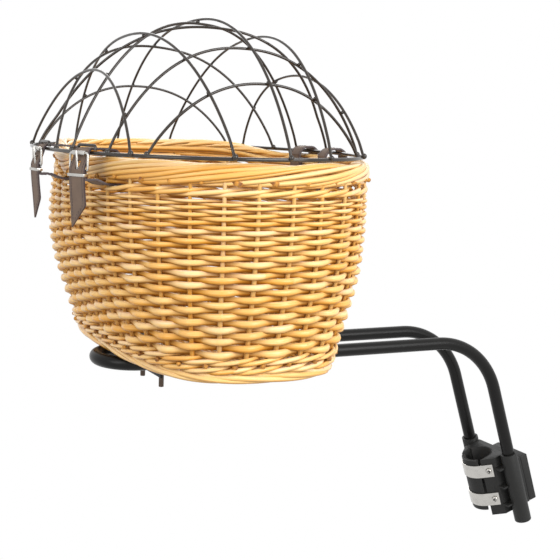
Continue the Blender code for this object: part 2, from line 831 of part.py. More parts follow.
def strap_guide(name, parent, place, station):
    """A wire staple on the ring, over the strap."""
    low = RING_HEIGHT + RING_WIRE / 2 + GAP
    high = low + GUIDE_RISE
    half = STRAP_WIDTH / 2 / cos(station.skew) + GUIDE_WIRE + GAP
    ends = [station.spot_on_ring(-half), station.spot_on_ring(half)]
    along = (ends[1] - ends[0]).normalized()
    corner = GUIDE_CORNER
    points = [(*ends[0], low), (*ends[0], high - corner),
              (*(ends[0] + along * corner * (1 - cos(pi / 4))), high - corner * (1 - sin(pi / 4))),
              (*(ends[0] + along * corner), high), (*(ends[1] - along * corner), high),
              (*(ends[1] - along * corner * (1 - cos(pi / 4))), high - corner * (1 - sin(pi / 4))),
              (*ends[1], high - corner), (*ends[1], low)]
    return finish(wire(name, points, GUIDE_WIRE), parent, dark_wire(), place)


# Straps and buckles

class Station:
    """A place on the ring where a strap crosses it, with its own outward, side and up axes."""

    def __init__(self, degrees, turn):
        self.degrees = degrees
        self.skew = turn
        self.origin = ring_point(degrees)
        normal = ring_normal(degrees)
        self.outward = Matrix.Rotation(turn, 2) @ normal
        self.side = Vector((-self.outward.y, self.outward.x))
        self.over_ring = RING_WIRE / 2 + GAP + STRAP_THICKNESS / 2
        self.beside_ring = (RING_WIRE / 2 / cos(turn) + STRAP_WIDTH / 2 * tan(abs(turn))
                            + 3 * GAP + STRAP_THICKNESS / 2)
        self.shift = 0.0

    def at(self, out, aside, up):
        """A point told in this station's axes, in the basket's frame."""
        plan = self.origin + self.outward * out + self.side * aside
        return Vector((*plan, RING_HEIGHT + up))

    def spot_on_ring(self, along):
        """A plan point on the ring, a little way along it from the strap."""
        step = RING_STEP
        spot, degrees, left = self.origin, self.degrees, abs(along)
        while left > 0:
            degrees += copysign(step, along)
            after = ring_point(degrees)
            left -= (after - spot).length
            spot = after
        return spot

    def border_outer(self, aside=0.0):
        return reach_to_oval(self.origin + self.side * aside, self.outward,
                             TOP_HALF_X, TOP_HALF_Y, TOP_POWER)

    def border_inner(self, aside=0.0):
        return reach_to_oval(self.origin + self.side * aside, self.outward,
                             TOP_HALF_X - BORDER_DEPTH, TOP_HALF_Y - BORDER_DEPTH, TOP_POWER)

    def slot_height(self):
        """Height of the slot in the wall, below the ring."""
        return BORDER_BOTTOM - SLOT_DROP - RING_HEIGHT

    def wall_outer(self, aside=0.0):
        return reach_to_oval(self.origin + self.side * aside, self.outward,
                             *flare(RING_HEIGHT + self.slot_height()))

    def wall_inner(self, aside=0.0):
        half_x, half_y, power = flare(RING_HEIGHT + self.slot_height())
        return reach_to_oval(self.origin + self.side * aside, self.outward,
                             half_x - WALL_THICKNESS, half_y - WALL_THICKNESS, power)

    def oriented(self, thing, out, aside, up, parent):
        """Turn and place an object so that its x runs outward and its y to the side."""
        thing.rotation_euler.z = atan2(self.outward.y, self.outward.x)
        thing.location = self.at(out, aside, up)
        thing.parent = parent
        return thing

    def wall_slot(self, parent):
        """Cutter of the slot that the strap goes through."""
        half_y = STRAP_WIDTH / 2 + SLOT_CLEARANCE
        half_z = STRAP_THICKNESS / 2 + SLOT_CLEARANCE
        outer = max(self.wall_outer(self.shift + side * half_y) for side in (-1, 1))
        inner = min(self.wall_inner(self.shift + side * half_y) for side in (-1, 1))
        low = (inner - OVERRUN, -half_y, -half_z)
        high = (outer + OVERRUN, half_y, half_z)
        slot = block("slot_cutter", low, high)
        return self.oriented(slot, 0, self.shift, self.slot_height(), parent)


def over_ring_turn(station, steps=3):
    """The quarter turn of a strap over the ring, from its top to its outer side."""
    return [(station.beside_ring * sin(a), 0, station.over_ring * cos(a))
            for a in (pi / 2 * i / steps for i in range(steps + 1))]


def buckle_places(station):
    """Heights and outward places of a buckle's roller bar and hinge bar."""
    frame_out = station.beside_ring + STRAP_THICKNESS / 2 + GAP + ROLLER_DIAMETER / 2
    return frame_out, 0.0, -BUCKLE_HEIGHT


def keeper_top(station):
    """Height of the keeper's upper edge, just below the prong's eye."""
    return buckle_places(station)[2] - PRONG_EYE_DIAMETER / 2 - 2 * GAP


def closure_path(station):
    """A closure strap from its end at the hinge bar, through the wall, over the ring, to its tip."""
    half = STRAP_THICKNESS / 2
    frame_out, _, hinge_up = buckle_places(station)
    bar = BUCKLE_WIRE / 2 + GAP
    shift = station.shift
    slot = station.slot_height()
    lead = SLOT_DROP / 2
    end_up = hinge_up - bar
    keeper_low = keeper_top(station) - KEEPER_HEIGHT
    wall_out = station.wall_outer(shift) + lead
    wall_in = station.wall_inner(shift) - lead / 2
    inside = min(station.border_inner(a) for a in (0, shift)) - GAP - half - lead / 3
    front = frame_out + bar + half
    path = [(frame_out, 0, end_up), (frame_out, 0, (end_up + keeper_low) / 2),
            (frame_out, 0, keeper_low),
            (frame_out - lead * 0.7, shift * 0.06, keeper_low - lead * 0.9),
            ((frame_out + wall_out) / 2, shift * 0.5, slot + lead * 1.3),
            (wall_out, shift * 0.93, slot + lead * 0.06), (wall_in, shift, slot),
            (inside + lead * 0.5, shift, slot + lead * 0.5),
            (inside, shift * 0.95, slot + lead * 1.8), (inside, shift * 0.8, slot + lead * 4),
            (inside, shift * 0.25, -BORDER_HEIGHT * 0.35),
            (inside + lead * 0.2, shift * 0.1, -RING_WIRE * 0.7),
            (inside + lead * 1.6, 0, station.over_ring * 0.5),
            (inside * 0.5, 0, station.over_ring * 0.92),
            (-station.beside_ring, 0, station.over_ring)]
    path += over_ring_turn(station)
    path += [(station.beside_ring, 0, -ROLLER_DIAMETER / 2),
             (station.beside_ring + (front - station.beside_ring) * 0.35, 0, hinge_up * 0.45),
             (station.beside_ring + (front - station.beside_ring) * 0.85, 0, hinge_up * 0.8),
             (front, 0, hinge_up), (front, 0, end_up), (front, 0, keeper_low),
             (front - half, 0, keeper_low - TAIL_LENGTH * 0.25),
             (front - 3 * half, 0, keeper_low - TAIL_LENGTH * 0.6),
             (front - 5 * half, 0, keeper_low - TAIL_LENGTH)]
    return path


def hinge_path(station):
    """A hinge strap: through the wall, round the outside, over the ring and down inside."""
    half = STRAP_THICKNESS / 2
    slot = station.slot_height()
    lead = SLOT_DROP / 2
    inside = station.border_inner() - GAP - half - lead / 3
    outside = max(station.border_outer(), station.beside_ring - half) + GAP + half + lead / 3
    wall_in = station.wall_inner() - lead / 2
    wall_out = station.wall_outer() + lead / 2
    tail = inside - STRAP_THICKNESS - GAP
    return [(inside, 0, slot + lead * 1.4 + HINGE_LAP), (inside, 0, slot + lead * 3),
            (inside, 0, slot + lead * 1.2), (inside + lead * 0.35, 0, slot + lead * 0.35),
            (inside + lead * 1.2, 0, slot), (wall_in, 0, slot), (wall_out - lead, 0, slot),
            (wall_out + half, 0, slot + lead * 0.1), (outside, 0, slot + lead * 1.5),
            (outside, 0, slot + BORDER_HEIGHT / 2), (outside, 0, -RING_WIRE * 0.8),
            (outside * 0.8, 0, station.over_ring * 0.2),
            (station.beside_ring * 0.75, 0, station.over_ring * 0.9),
            (0, 0, station.over_ring), (inside * 0.45, 0, station.over_ring * 0.95),
            (inside * 0.85, 0, station.over_ring * 0.5), (tail, 0, -RING_WIRE * 0.6),
            (tail, 0, slot + HINGE_LAP + lead * 1.4), (tail, 0, slot + lead),
            (tail, 0, slot - lead), (tail - half, 0, -HINGE_TAIL_DROP)]


def strap(name, parent, station, path, taper_length):
    """A strap of even thickness along its path, with a slanting tip."""
    centre = smooth_route([station.at(*spot) for spot in path], STRAP_STEPS)
    hint = Vector((*station.side, 0))
    run = [0.0]
    for a, b in zip(centre, centre[1:]):
        run.append(run[-1] + (b - a).length)
    rows = []
    for i, point in enumerate(centre):
        heading = (centre[min(i + 1, len(centre) - 1)] - centre[max(i - 1, 0)]).normalized()
        across = (hint - heading * hint.dot(heading)).normalized()
        left = run[-1] - run[i]
        tip_share = min(1, (left + GAP) / taper_length) if taper_length else 1
        right = STRAP_WIDTH / 2 - STRAP_WIDTH * (1 - tip_share)
        rows.append((point - across * STRAP_WIDTH / 2, point + across * right))
    return ribbon(name, rows, STRAP_THICKNESS)


def closure_strap(name, parent, station):
    """A closure strap, with the slot that the prong goes through."""
    made = strap(name, parent, station, closure_path(station), TAIL_TAPER)
    frame_out, _, hinge_up = buckle_places(station)
    room = PRONG_EYE_DIAMETER / 2 + 2 * GAP
    slot = block("prong_slot_cutter", (-OVERRUN, -PRONG_SLOT_WIDTH / 2, hinge_up - room),
                 (OVERRUN, PRONG_SLOT_WIDTH / 2, hinge_up * PRONG_SLOT_TOP_SHARE))
    cut(made, station.oriented(slot, frame_out, 0, 0, parent))
    return finish(made, parent, taupe_leather())


def rivet_place(station):
    """Outward place of both strap layers at the rivet, and its height."""
    half = STRAP_THICKNESS / 2
    lead = SLOT_DROP / 2
    inside = station.border_inner() - GAP - half - lead / 3
    return inside, inside - STRAP_THICKNESS - GAP, station.slot_height() + lead + HINGE_LAP * 0.45


def hinge_strap(name, parent, station):
    """A hinge strap, with its rivet hole and the punched hole in its tail."""
    made = strap(name, parent, station, hinge_path(station), None)
    near, far, up = rivet_place(station)
    hole = rod("rivet_hole_cutter", (near + OVERRUN, 0, up), (far - OVERRUN, 0, up),
               RIVET_DIAMETER / 2 + GAP, SMALL_SIDES)
    cut(made, station.oriented(hole, 0, 0, 0, parent))
    low = -HINGE_TAIL_DROP + STRAP_WIDTH / 3
    punched = rod("punched_hole_cutter", (far + OVERRUN / 2, 0, low), (far - OVERRUN, 0, low),
                  RIVET_DIAMETER / 2, SMALL_SIDES)
    cut(made, station.oriented(punched, 0, 0, 0, parent))
    return finish(made, parent, taupe_leather())


def hinge_rivet(name, parent, station):
    """A rivet through both layers of a hinge strap, with a head on either side."""
    near, far, up = rivet_place(station)
    half = STRAP_THICKNESS / 2
    head, shank = RIVET_HEAD_DIAMETER / 2, RIVET_DIAMETER / 2
    low, high = far - half - GAP, near + half + GAP
    profile = [(0, high + RIVET_HEAD_HEIGHT), (head * 0.8, high + RIVET_HEAD_HEIGHT),
               (head, high), (shank, high), (shank, low), (head, low),
               (head * 0.8, low - RIVET_HEAD_HEIGHT), (0, low - RIVET_HEAD_HEIGHT)]
    made = turned(name, profile, SMALL_SIDES)
    made.data.transform(Matrix.Rotation(pi / 2, 4, "Y"))
    station.oriented(made, 0, 0, up, parent)
    return finish(made, parent, plated_steel())


def buckle_frame(name, parent, station):
    """A rectangular wire frame: roller bar above, hinge bar below."""
    frame_out, roller_up, hinge_up = buckle_places(station)
    half = STRAP_WIDTH / 2 + BUCKLE_SIDE_ROOM + BUCKLE_WIRE / 2
    middle, tall = (roller_up + hinge_up) / 2, (roller_up - hinge_up) / 2
    points = []
    for cy, cz, start in ((1, 1, 0), (-1, 1, pi / 2), (-1, -1, pi), (1, -1, 3 * pi / 2)):
        centre = (cy * (half - BUCKLE_CORNER), middle + cz * (tall - BUCKLE_CORNER))
        points += arc(centre, BUCKLE_CORNER, start, start + pi / 2, 3)
    route = [station.at(frame_out, aside, up) for aside, up in points]
    return finish(wire(name, route, BUCKLE_WIRE, closed=True), parent, plated_steel())


def buckle_roller(name, parent, station):
    """The loose sleeve on a buckle's upper bar."""
    inner, outer = BUCKLE_WIRE / 2 + GAP, ROLLER_DIAMETER / 2
    half = STRAP_WIDTH / 2 + BUCKLE_SIDE_ROOM - BUCKLE_CORNER
    sleeve = turned(name, [(outer, half), (outer, -half), (inner, -half), (inner, half), (outer, half)],
                    SLEEVE_SIDES)
    sleeve.rotation_euler.x = pi / 2
    return finish(sleeve, parent, plated_steel())


def buckle_prong(name, parent, station):
    """The prong: an eye round the hinge bar and a pin up to the roller."""
    inner, outer = BUCKLE_WIRE / 2 + GAP, PRONG_EYE_DIAMETER / 2
    half = PRONG_EYE_WIDTH / 2
    eye = turned(name, [(outer, half), (outer, -half), (inner, -half), (inner, half), (outer, half)],
                 SLEEVE_SIDES)
    eye.data.transform(Matrix.Rotation(pi / 2, 4, "X"))
    rest = ROLLER_DIAMETER / 2 + GAP * 2 + PRONG_WIRE / 2
    start = ((inner + outer) / 2, 0, PRONG_WIRE / 2)
    pin = rod("prong_pin", start, (rest, 0, BUCKLE_HEIGHT + PRONG_WIRE), PRONG_WIRE / 2, SMALL_SIDES)
    pin.parent = parent
    join(eye, pin)
    return finish(eye, parent, plated_steel())


def strap_keeper(name, parent, station):
    """A plated band round the tail and the fixed end, below the buckle."""
    frame_out, _, hinge_up = buckle_places(station)
    half_strap = STRAP_THICKNESS / 2
    front = frame_out + BUCKLE_WIRE / 2 + GAP + half_strap
    top = keeper_top(station)
    low = (frame_out - half_strap - GAP, -STRAP_WIDTH / 2 - 2 * GAP)
    high = (front + half_strap + GAP, STRAP_WIDTH / 2 + 2 * GAP)
    band = block(name, (low[0] - KEEPER_WALL, low[1] - KEEPER_WALL, top - KEEPER_HEIGHT),
                 (high[0] + KEEPER_WALL, high[1] + KEEPER_WALL, top))
    hollow = block("keeper_cutter", (*low, top - KEEPER_HEIGHT - OVERRUN), (*high, top + OVERRUN))
    cut(band, station.oriented(hollow, 0, 0, 0, parent))
    station.oriented(band, 0, 0, 0, parent)
    return finish(band, parent, plated_steel())


# Bracket

def ring_sector(name, inner, outer, start, end, low, high, steps):
    """A part of a tube's wall, between two angles."""
    outline = arc((0, 0), outer, start, end, steps) + arc((0, 0), inner, end, start, steps)
    made = flat(name, outline, high - low)
    made.location.z = (low + high) / 2
    return smooth(made)


def flange_outline():
    """Plan of the bracket's body: a U round the tube, with slanting faces for the band's ears."""
    back = pi - SHELL_HALF_ANGLE
    face = SHELL_OUTER

    def x_on_face(y):
        """Where the slanting face is, at a distance from the middle."""
        return (face - y * sin(back)) / cos(back)

    side = FLANGE_HALF_Y
    far = [(x_on_face(CRADLE_INNER), CRADLE_INNER), (0, CRADLE_INNER)]
    bore = arc((0, 0), CRADLE_INNER, pi / 2, -pi / 2, ROUND_SIDES)
    return ([(x_on_face(side), side), (x_on_face(CRADLE_INNER), CRADLE_INNER)] + bore
            + [(x_on_face(CRADLE_INNER), -CRADLE_INNER), (x_on_face(side), -side),
               (BODY_FRONT, -side), (BODY_FRONT, side)])


def bracket_body(parent):
    """Cradle, sockets, ribs and housing in one moulding."""
    body = flat("bracket_body", flange_outline(), BRACKET_TOP - BRACKET_BOTTOM)
    body.location.z = (BRACKET_TOP + BRACKET_BOTTOM) / 2
    for side in (-1, 1):
        y = side * ROD_SPACING / 2
        join(body, place_in(parent, rod("socket_joint", (SOCKET_FORWARD, y, SOCKET_BOTTOM),
                                        (SOCKET_FORWARD, y, SOCKET_TOP),
                                        SOCKET_DIAMETER / 2, SOCKET_SIDES)))
        for plate in rib_plates(side):
            join(body, place_in(parent, plate))
    hollow_housing(body, parent)
    for side in (-1, 1):
        bore_socket(body, parent, side)
    for start, end in clamp_screw_runs():
        hole = rod("clamp_hole_cutter", start, end, CLAMP_SCREW_DIAMETER / 2 + GAP, SMALL_SIDES)
        cut(body, place_in(parent, hole))
    for start, end in cover_boss_places():
        boss = rod("cover_boss", start, end - Vector((2 * GAP, 0, 0)), COVER_BOSS / 2, SMALL_SIDES)
        join(body, place_in(parent, boss))
        hole = rod("cover_hole_cutter", end - Vector((COVER_SCREW_LENGTH, 0, 0)),
                   end + Vector((OVERRUN, 0, 0)), COVER_SCREW_DIAMETER / 2 + GAP, SMALL_SIDES)
        cut(body, place_in(parent, hole))
    return finish(body, parent, black_plastic())


def hollow_housing(body, parent):
    """Join the latch housing to the body, and hollow it from the front."""
    inner = HOUSING_HALF_Y - HOUSING_WALL
    box = block("housing_joint", (BODY_FRONT - OVERRUN, -HOUSING_HALF_Y, HOUSING_BOTTOM),
                (HOUSING_FRONT, HOUSING_HALF_Y, HOUSING_TOP))
    join(body, place_in(parent, box))
    hollow = block("housing_cutter",
                   (BODY_FRONT - HOUSING_WALL / 2, -inner, HOUSING_BOTTOM + HOUSING_WALL),
                   (HOUSING_FRONT + OVERRUN, inner, HOUSING_TOP - HOUSING_WALL))
    cut(body, place_in(parent, hollow))


def bore_socket(body, parent, side):
    """Bore one leg's socket, its drain, and the window that the leaf's end goes through."""
    y = side * ROD_SPACING / 2
    bore = rod("socket_cutter", (SOCKET_FORWARD, y, SOCKET_BOTTOM + SOCKET_FLOOR),
               (SOCKET_FORWARD, y, SOCKET_TOP + OVERRUN), SOCKET_BORE / 2, SOCKET_SIDES)
    cut(body, place_in(parent, bore))
    drain = rod("drain_cutter", (SOCKET_FORWARD, y, SOCKET_BOTTOM - OVERRUN),
                (SOCKET_FORWARD, y, SOCKET_BOTTOM + 2 * SOCKET_FLOOR), DRAIN_DIAMETER / 2, SMALL_SIDES)
    cut(body, place_in(parent, drain))
    ends = sorted((side * (HOUSING_HALF_Y - HOUSING_WALL - OVERRUN),
                   side * (ROD_SPACING / 2 - ROD_DIAMETER / 4)))
    window = block("leaf_window_cutter", (SOCKET_FORWARD, ends[0], BUTTON_HEIGHT - NOTCH_HEIGHT / 2),
                   (BODY_FRONT + OVERRUN, ends[1], BUTTON_HEIGHT + NOTCH_HEIGHT / 2))
    cut(body, place_in(parent, window))


def place_in(parent, thing):
    thing.parent = parent
    return thing


def rib_plates(side):
    """Ribs and a web between a flange and its socket."""
    low, high = BRACKET_BOTTOM, BRACKET_TOP - RIB_THICKNESS
    ends = sorted((side * (FLANGE_HALF_Y - OVERRUN / 2), side * ROD_SPACING / 2))
    plates = [block("web_joint", (SOCKET_FORWARD - RIB_THICKNESS, ends[0], low),
                    (SOCKET_FORWARD + RIB_THICKNESS / 2, ends[1], BRACKET_TOP))]
    for i in range(RIB_COUNT):
        z = low + (high - low) * (i + 0.5) / RIB_COUNT
        plates.append(block("rib_joint", (RIB_BACK, ends[0], z),
                            (SOCKET_FORWARD, ends[1], z + RIB_THICKNESS)))
    return plates


def ear_directions(side):
    """Outward normal and run of one slanting ear, in plan."""
    turn = pi - SHELL_HALF_ANGLE
    normal = Vector((cos(turn), side * sin(turn)))
    return normal, Vector((sin(turn), -side * cos(turn)))


def clamp_screw_places():
    """Where each clamp screw meets the outside of its band's ear, with its normal."""
    places = []
    for level in (-BAND_SPACING / 2, BAND_SPACING / 2):
        for side in (-1, 1):
            normal, run = ear_directions(side)
            spot = normal * (BAND_INNER + BAND_THICKNESS) + run * EAR_LENGTH * EAR_SCREW_SHARE
            places.append((Vector((*spot, level)), Vector((*normal, 0))))
    return places


def clamp_screw_runs():
    """Start and end of the holes that the clamp screws need."""
    return [(spot + normal * OVERRUN, spot - normal * (BAND_THICKNESS + CLAMP_SCREW_DEPTH + 2 * GAP))
            for spot, normal in clamp_screw_places()]


def clamp_screw(name):
    """A pan-head screw with a crossed recess; z = 0 is the ear's face."""
    head, shank = CLAMP_SCREW_HEAD / 2, CLAMP_SCREW_DIAMETER / 2
    seat, top = GAP, GAP + CLAMP_SCREW_HEAD_HEIGHT
    low = -BAND_THICKNESS - CLAMP_SCREW_DEPTH
    round_out, round_up = HEAD_ROUND_SHARES
    profile = [(0, top), (head * HEAD_FLAT_SHARE, top), (head * round_out, top * round_up),
               (head, seat), (shank, seat), (shank, low), (0, low)]
    screw = turned(name, profile, SMALL_SIDES)
    for turn in (0, pi / 2):
        bar = block("recess_cutter", (-head * RECESS_SHARE, -RECESS_WIDTH / 2, top - RECESS_DEPTH),
                    (head * RECESS_SHARE, RECESS_WIDTH / 2, top + OVERRUN))
        bar.data.transform(Matrix.Rotation(turn, 4, "Z"))
        at_once(screw, bar, "DIFFERENCE")
    return smooth(screw)


def clamp_screws(parent):
    """Four screws through the bands' ears into the flanges."""
    first = clamp_screw("clamp_screw_1")
    for number, (spot, normal) in enumerate(clamp_screw_places(), 1):
        screw = first if number == 1 else copy_of(first, f"clamp_screw_{number}")
        screw.rotation_euler = normal.to_track_quat("Z", "Y").to_euler()
        finish(screw, parent, plated_steel(), spot)


def clamp_band(name, parent, level):
    """A plated band: an arc round the shell and two straight ears."""
    radius = BAND_INNER + BAND_THICKNESS / 2
    plan = [Vector(spot) for spot in arc((0, 0), radius, pi - SHELL_HALF_ANGLE,
                                         pi + SHELL_HALF_ANGLE, SHELL_STEPS)]
    _, far_run = ear_directions(1)
    _, near_run = ear_directions(-1)
    plan = [plan[0] + far_run * EAR_LENGTH] + plan + [plan[-1] + near_run * EAR_LENGTH]
    half = BAND_WIDTH / 2
    rows = [((*spot, level - half), (*spot, level + half)) for spot in plan]
    band = ribbon(name, rows, BAND_THICKNESS)
    for start, end in clamp_screw_runs():
        if abs(start.z - level) < half:
            hole = rod("band_hole_cutter", start, end, CLAMP_SCREW_DIAMETER / 2 + GAP, SMALL_SIDES)
            cut(band, place_in(parent, hole))
    return finish(band, parent, plated_steel())


def rear_clamp_shell(parent):
    shell = ring_sector("rear_clamp_shell", CRADLE_INNER, SHELL_OUTER, pi - SHELL_HALF_ANGLE,
                        pi + SHELL_HALF_ANGLE, -SHELL_HALF_HEIGHT, SHELL_HALF_HEIGHT, SHELL_STEPS)
    return finish(shell, parent, black_plastic())


def liner(name, parent, start, end, low, high, steps):
    """A rubber strip between the tube and what grips it."""
    made = ring_sector(name, LINER_INNER, LINER_INNER + LINER_THICKNESS, start, end, low, high, steps)
    return finish(made, parent, black_rubber())


def latch_cover(parent):
    """The housing's dished cover, with the button's hole."""
    low = (HOUSING_FRONT + GAP, -HOUSING_HALF_Y, HOUSING_BOTTOM)
    high = (COVER_FRONT, HOUSING_HALF_Y, HOUSING_TOP)
    cover = soften(block("latch_cover", low, high), EDGE_ROUND)
    inner = HOUSING_HALF_Y - HOUSING_WALL
    hollow = block("cover_cutter", (HOUSING_FRONT - OVERRUN, -inner, HOUSING_BOTTOM + HOUSING_WALL),
                   (COVER_FRONT - COVER_WALL, inner, HOUSING_TOP - HOUSING_WALL))
    cut(cover, place_in(parent, hollow))
    hole = rod("button_hole_cutter", (HOUSING_FRONT, 0, BUTTON_HEIGHT),
               (COVER_FRONT + OVERRUN, 0, BUTTON_HEIGHT), BUTTON_DIAMETER / 2 + GAP)
    cut(cover, place_in(parent, hole))
    for _, seat in cover_boss_places():
        pillar = rod("cover_pillar", (HOUSING_FRONT + GAP, *seat[1:]),
                     (COVER_FRONT - COVER_WALL / 2, *seat[1:]), COVER_BOSS / 2, SMALL_SIDES)
        join(cover, place_in(parent, pillar))
        bore = rod("cover_hole_cutter", (HOUSING_FRONT - OVERRUN, *seat[1:]),
                   (COVER_FRONT + OVERRUN, *seat[1:]), COVER_SCREW_DIAMETER / 2 + GAP, SMALL_SIDES)
        cut(cover, place_in(parent, bore))
    return finish(cover, parent, black_plastic())


def cover_boss_places():
    """Where the cover's two screw bosses start and end, at the housing's floor and roof."""
    inset = HOUSING_WALL + COVER_BOSS / 4
    levels = (HOUSING_BOTTOM + inset, HOUSING_TOP - inset)
    return [(Vector((BODY_FRONT - HOUSING_WALL, 0, z)), Vector((HOUSING_FRONT, 0, z))) for z in levels]


def cover_screws(parent):
    """The small screws that hold the cover."""
    head, shank = COVER_SCREW_HEAD / 2, COVER_SCREW_DIAMETER / 2
    low = HOUSING_FRONT - COVER_SCREW_LENGTH + 2 * GAP
    seat = COVER_FRONT + GAP
    top = seat + COVER_SCREW_HEAD_HEIGHT
    profile = [(0, top), (head * 0.7, top), (head, seat), (shank, seat), (shank, low), (0, low)]
    first = turned("cover_screw_1", profile, SMALL_SIDES)
    first.data.transform(Matrix.Rotation(pi / 2, 4, "Y"))
    for number, (_, end) in enumerate(cover_boss_places(), 1):
        screw = first if number == 1 else copy_of(first, f"cover_screw_{number}")
        finish(screw, parent, plated_steel(), (0, 0, end.z))


def latch_button(parent):
    """The release button: a round plunger with a flange behind the cover."""
    outer, flange = BUTTON_DIAMETER / 2, BUTTON_FLANGE_DIAMETER / 2
    top = COVER_FRONT + BUTTON_PROUD
    collar = COVER_FRONT - COVER_WALL - GAP
    low = LEAF_FORWARD + LEAF_THICKNESS / 2 + GAP
    crown = EDGE_ROUND
    profile = [(0, top), (outer - crown, top), (outer, top - crown), (outer, collar), (flange, collar),
               (flange, collar - BUTTON_FLANGE_THICKNESS), (outer / 2, collar - BUTTON_FLANGE_THICKNESS),
               (outer / 2, low), (0, low)]
    button = turned("latch_button", profile)
    button.data.transform(Matrix.Rotation(pi / 2, 4, "Y"))
    return finish(button, parent, black_plastic())


def lock_spring(parent):
    """The spring-steel leaf: pushed by the button, its two ends bite into the legs."""
    tip = ROD_SPACING / 2 - ROD_DIAMETER / 2 + LEAF_TIP_BITE
    rise = LEAF_FORWARD - LEAF_TIP_FORWARD
    far = [Vector((LEAF_TIP_FORWARD + rise * forward, tip * aside)) for aside, forward in LEAF_SHARES]
    near = [Vector((spot.x, -spot.y)) for spot in far[-2::-1]]
    plan = smooth_route([Vector((*spot, 0)) for spot in far + near], 2)
    low, high = BUTTON_HEIGHT - LEAF_HEIGHT / 2, BUTTON_HEIGHT + LEAF_HEIGHT / 2
    rows = [((spot.x, spot.y, low), (spot.x, spot.y, high)) for spot in plan]
    return finish(ribbon("lock_spring", rows, LEAF_THICKNESS), parent, plated_steel())


# The whole object

def build_holder(basket, bracket, closures, hinges):
    basket_wall(basket, closures + hinges)
    basket_border(basket)
    basket_foot(basket)
    basket_floor(basket, bolt_places())
    bow(basket, bracket)
    for name, share in zip(("rear", "front"), PLATE_X_SHARES):
        cross_plate("cross_plate_" + name, basket, share * TOP_HALF_X)
        inner_plate("inner_plate_" + name, basket, share * TOP_HALF_X)
    plate_bolts(basket)
    plate_nuts(basket)
    for number, station in enumerate(closures, 1):
        closure_strap(f"closure_strap_{number}", basket, station)
        buckle_frame(f"buckle_frame_{number}", basket, station)
        strap_keeper(f"strap_keeper_{number}", basket, station)
        frame_out, roller_up, hinge_up = buckle_places(station)
        turn = atan2(station.outward.y, station.outward.x)
        roller_axis = empty(f"roller_axis_{number}", station.at(frame_out, 0, roller_up),
                            (0, 0, turn), basket)
        prong_axis = empty(f"prong_axis_{number}", station.at(frame_out, 0, hinge_up),
                           (0, 0, turn), basket)
        buckle_roller(f"buckle_roller_{number}", roller_axis, station)
        buckle_prong(f"buckle_prong_{number}", prong_axis, station)
    for number, station in enumerate(hinges, 1):
        hinge_strap(f"hinge_strap_{number}", basket, station)
        hinge_rivet(f"hinge_rivet_{number}", basket, station)


def build_dome(basket, closures):
    """The lid, carried by an empty on its hinge line at the ring's front."""
    hinge = (RING_FRONT, 0, RING_HEIGHT)
    axis = empty("dome_axis", hinge, parent=basket)
    place = (-hinge[0], 0, -hinge[2])
    dome_ring(axis, place)
    dome_wires(axis, place)
    for number, station in enumerate(closures, 1):
        strap_guide(f"strap_guide_{number}", axis, place, station)


def build_bracket(bracket):
    bracket_body(bracket)
    latch_cover(bracket)
    cover_screws(bracket)
    button_axis = empty("button_axis", (0, 0, BUTTON_HEIGHT), parent=bracket)
    latch_button(button_axis)
    lock_spring(bracket)
    liner("liner_front", bracket, -LINER_HALF_ANGLE, LINER_HALF_ANGLE,
          BRACKET_BOTTOM, BRACKET_TOP, ROUND_SIDES)
    liner("liner_rear", bracket, pi - SHELL_HALF_ANGLE, pi + SHELL_HALF_ANGLE,
          -SHELL_HALF_HEIGHT, SHELL_HALF_HEIGHT, SHELL_STEPS)
    rear_clamp_shell(bracket)
    clamp_band("clamp_band_upper", bracket, BAND_SPACING / 2)
    clamp_band("clamp_band_lower", bracket, -BAND_SPACING / 2)
    clamp_screws(bracket)


def main():
    clear_scene()
    bracket = empty("seat_tube_axis", (0, 0, 0), (0, -TUBE_LEAN, 0))
    basket = empty("basket_centre", (-BASKET_REACH, 0, BASKET_RISE))
    closures = [Station(*place) for place in CLOSURE_STRAPS.values()]
    for station in closures:
        station.shift = SLOT_SHIFT
    hinges = [Station(*place) for place in HINGE_STRAPS.values()]
    build_holder(basket, bracket, closures, hinges)
    build_dome(basket, closures)
    build_bracket(bracket)


main()
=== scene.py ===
"""The looks of the rear dog basket: willow weave, enamelled wire dome, leather straps and metalwork."""

from functools import cache
from math import copysign, cos, pi, radians, sin, tan
from typing import NamedTuple

import bmesh
import bpy
import numpy as np
from bpy.props import FloatProperty, FloatVectorProperty, IntProperty, PointerProperty
from mathutils import Matrix, Vector


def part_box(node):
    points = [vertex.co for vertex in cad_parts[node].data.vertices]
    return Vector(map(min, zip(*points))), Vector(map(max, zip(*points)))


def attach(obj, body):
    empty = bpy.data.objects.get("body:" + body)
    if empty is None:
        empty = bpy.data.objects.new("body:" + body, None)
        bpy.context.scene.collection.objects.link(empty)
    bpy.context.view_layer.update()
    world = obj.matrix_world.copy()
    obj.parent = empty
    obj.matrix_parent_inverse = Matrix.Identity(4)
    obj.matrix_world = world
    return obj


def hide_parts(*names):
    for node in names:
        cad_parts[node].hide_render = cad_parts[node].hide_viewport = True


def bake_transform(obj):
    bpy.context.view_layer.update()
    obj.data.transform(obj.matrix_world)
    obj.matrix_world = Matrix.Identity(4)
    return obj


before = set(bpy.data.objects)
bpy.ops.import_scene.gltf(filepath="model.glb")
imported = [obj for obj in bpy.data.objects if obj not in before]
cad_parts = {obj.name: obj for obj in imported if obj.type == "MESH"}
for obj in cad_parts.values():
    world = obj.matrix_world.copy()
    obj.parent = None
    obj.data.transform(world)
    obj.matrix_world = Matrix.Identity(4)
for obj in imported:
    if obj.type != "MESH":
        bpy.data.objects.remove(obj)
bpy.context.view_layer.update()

bl_info = {
    "name": "Rear dog basket",
    "version": (1, 0, 0),
    "blender": (4, 5, 0),
    "location": "3D View > Sidebar > Dog basket",
    "description": "Dresses the packed basket with its weave, wires, leather and metal",
    "category": "Object",
}

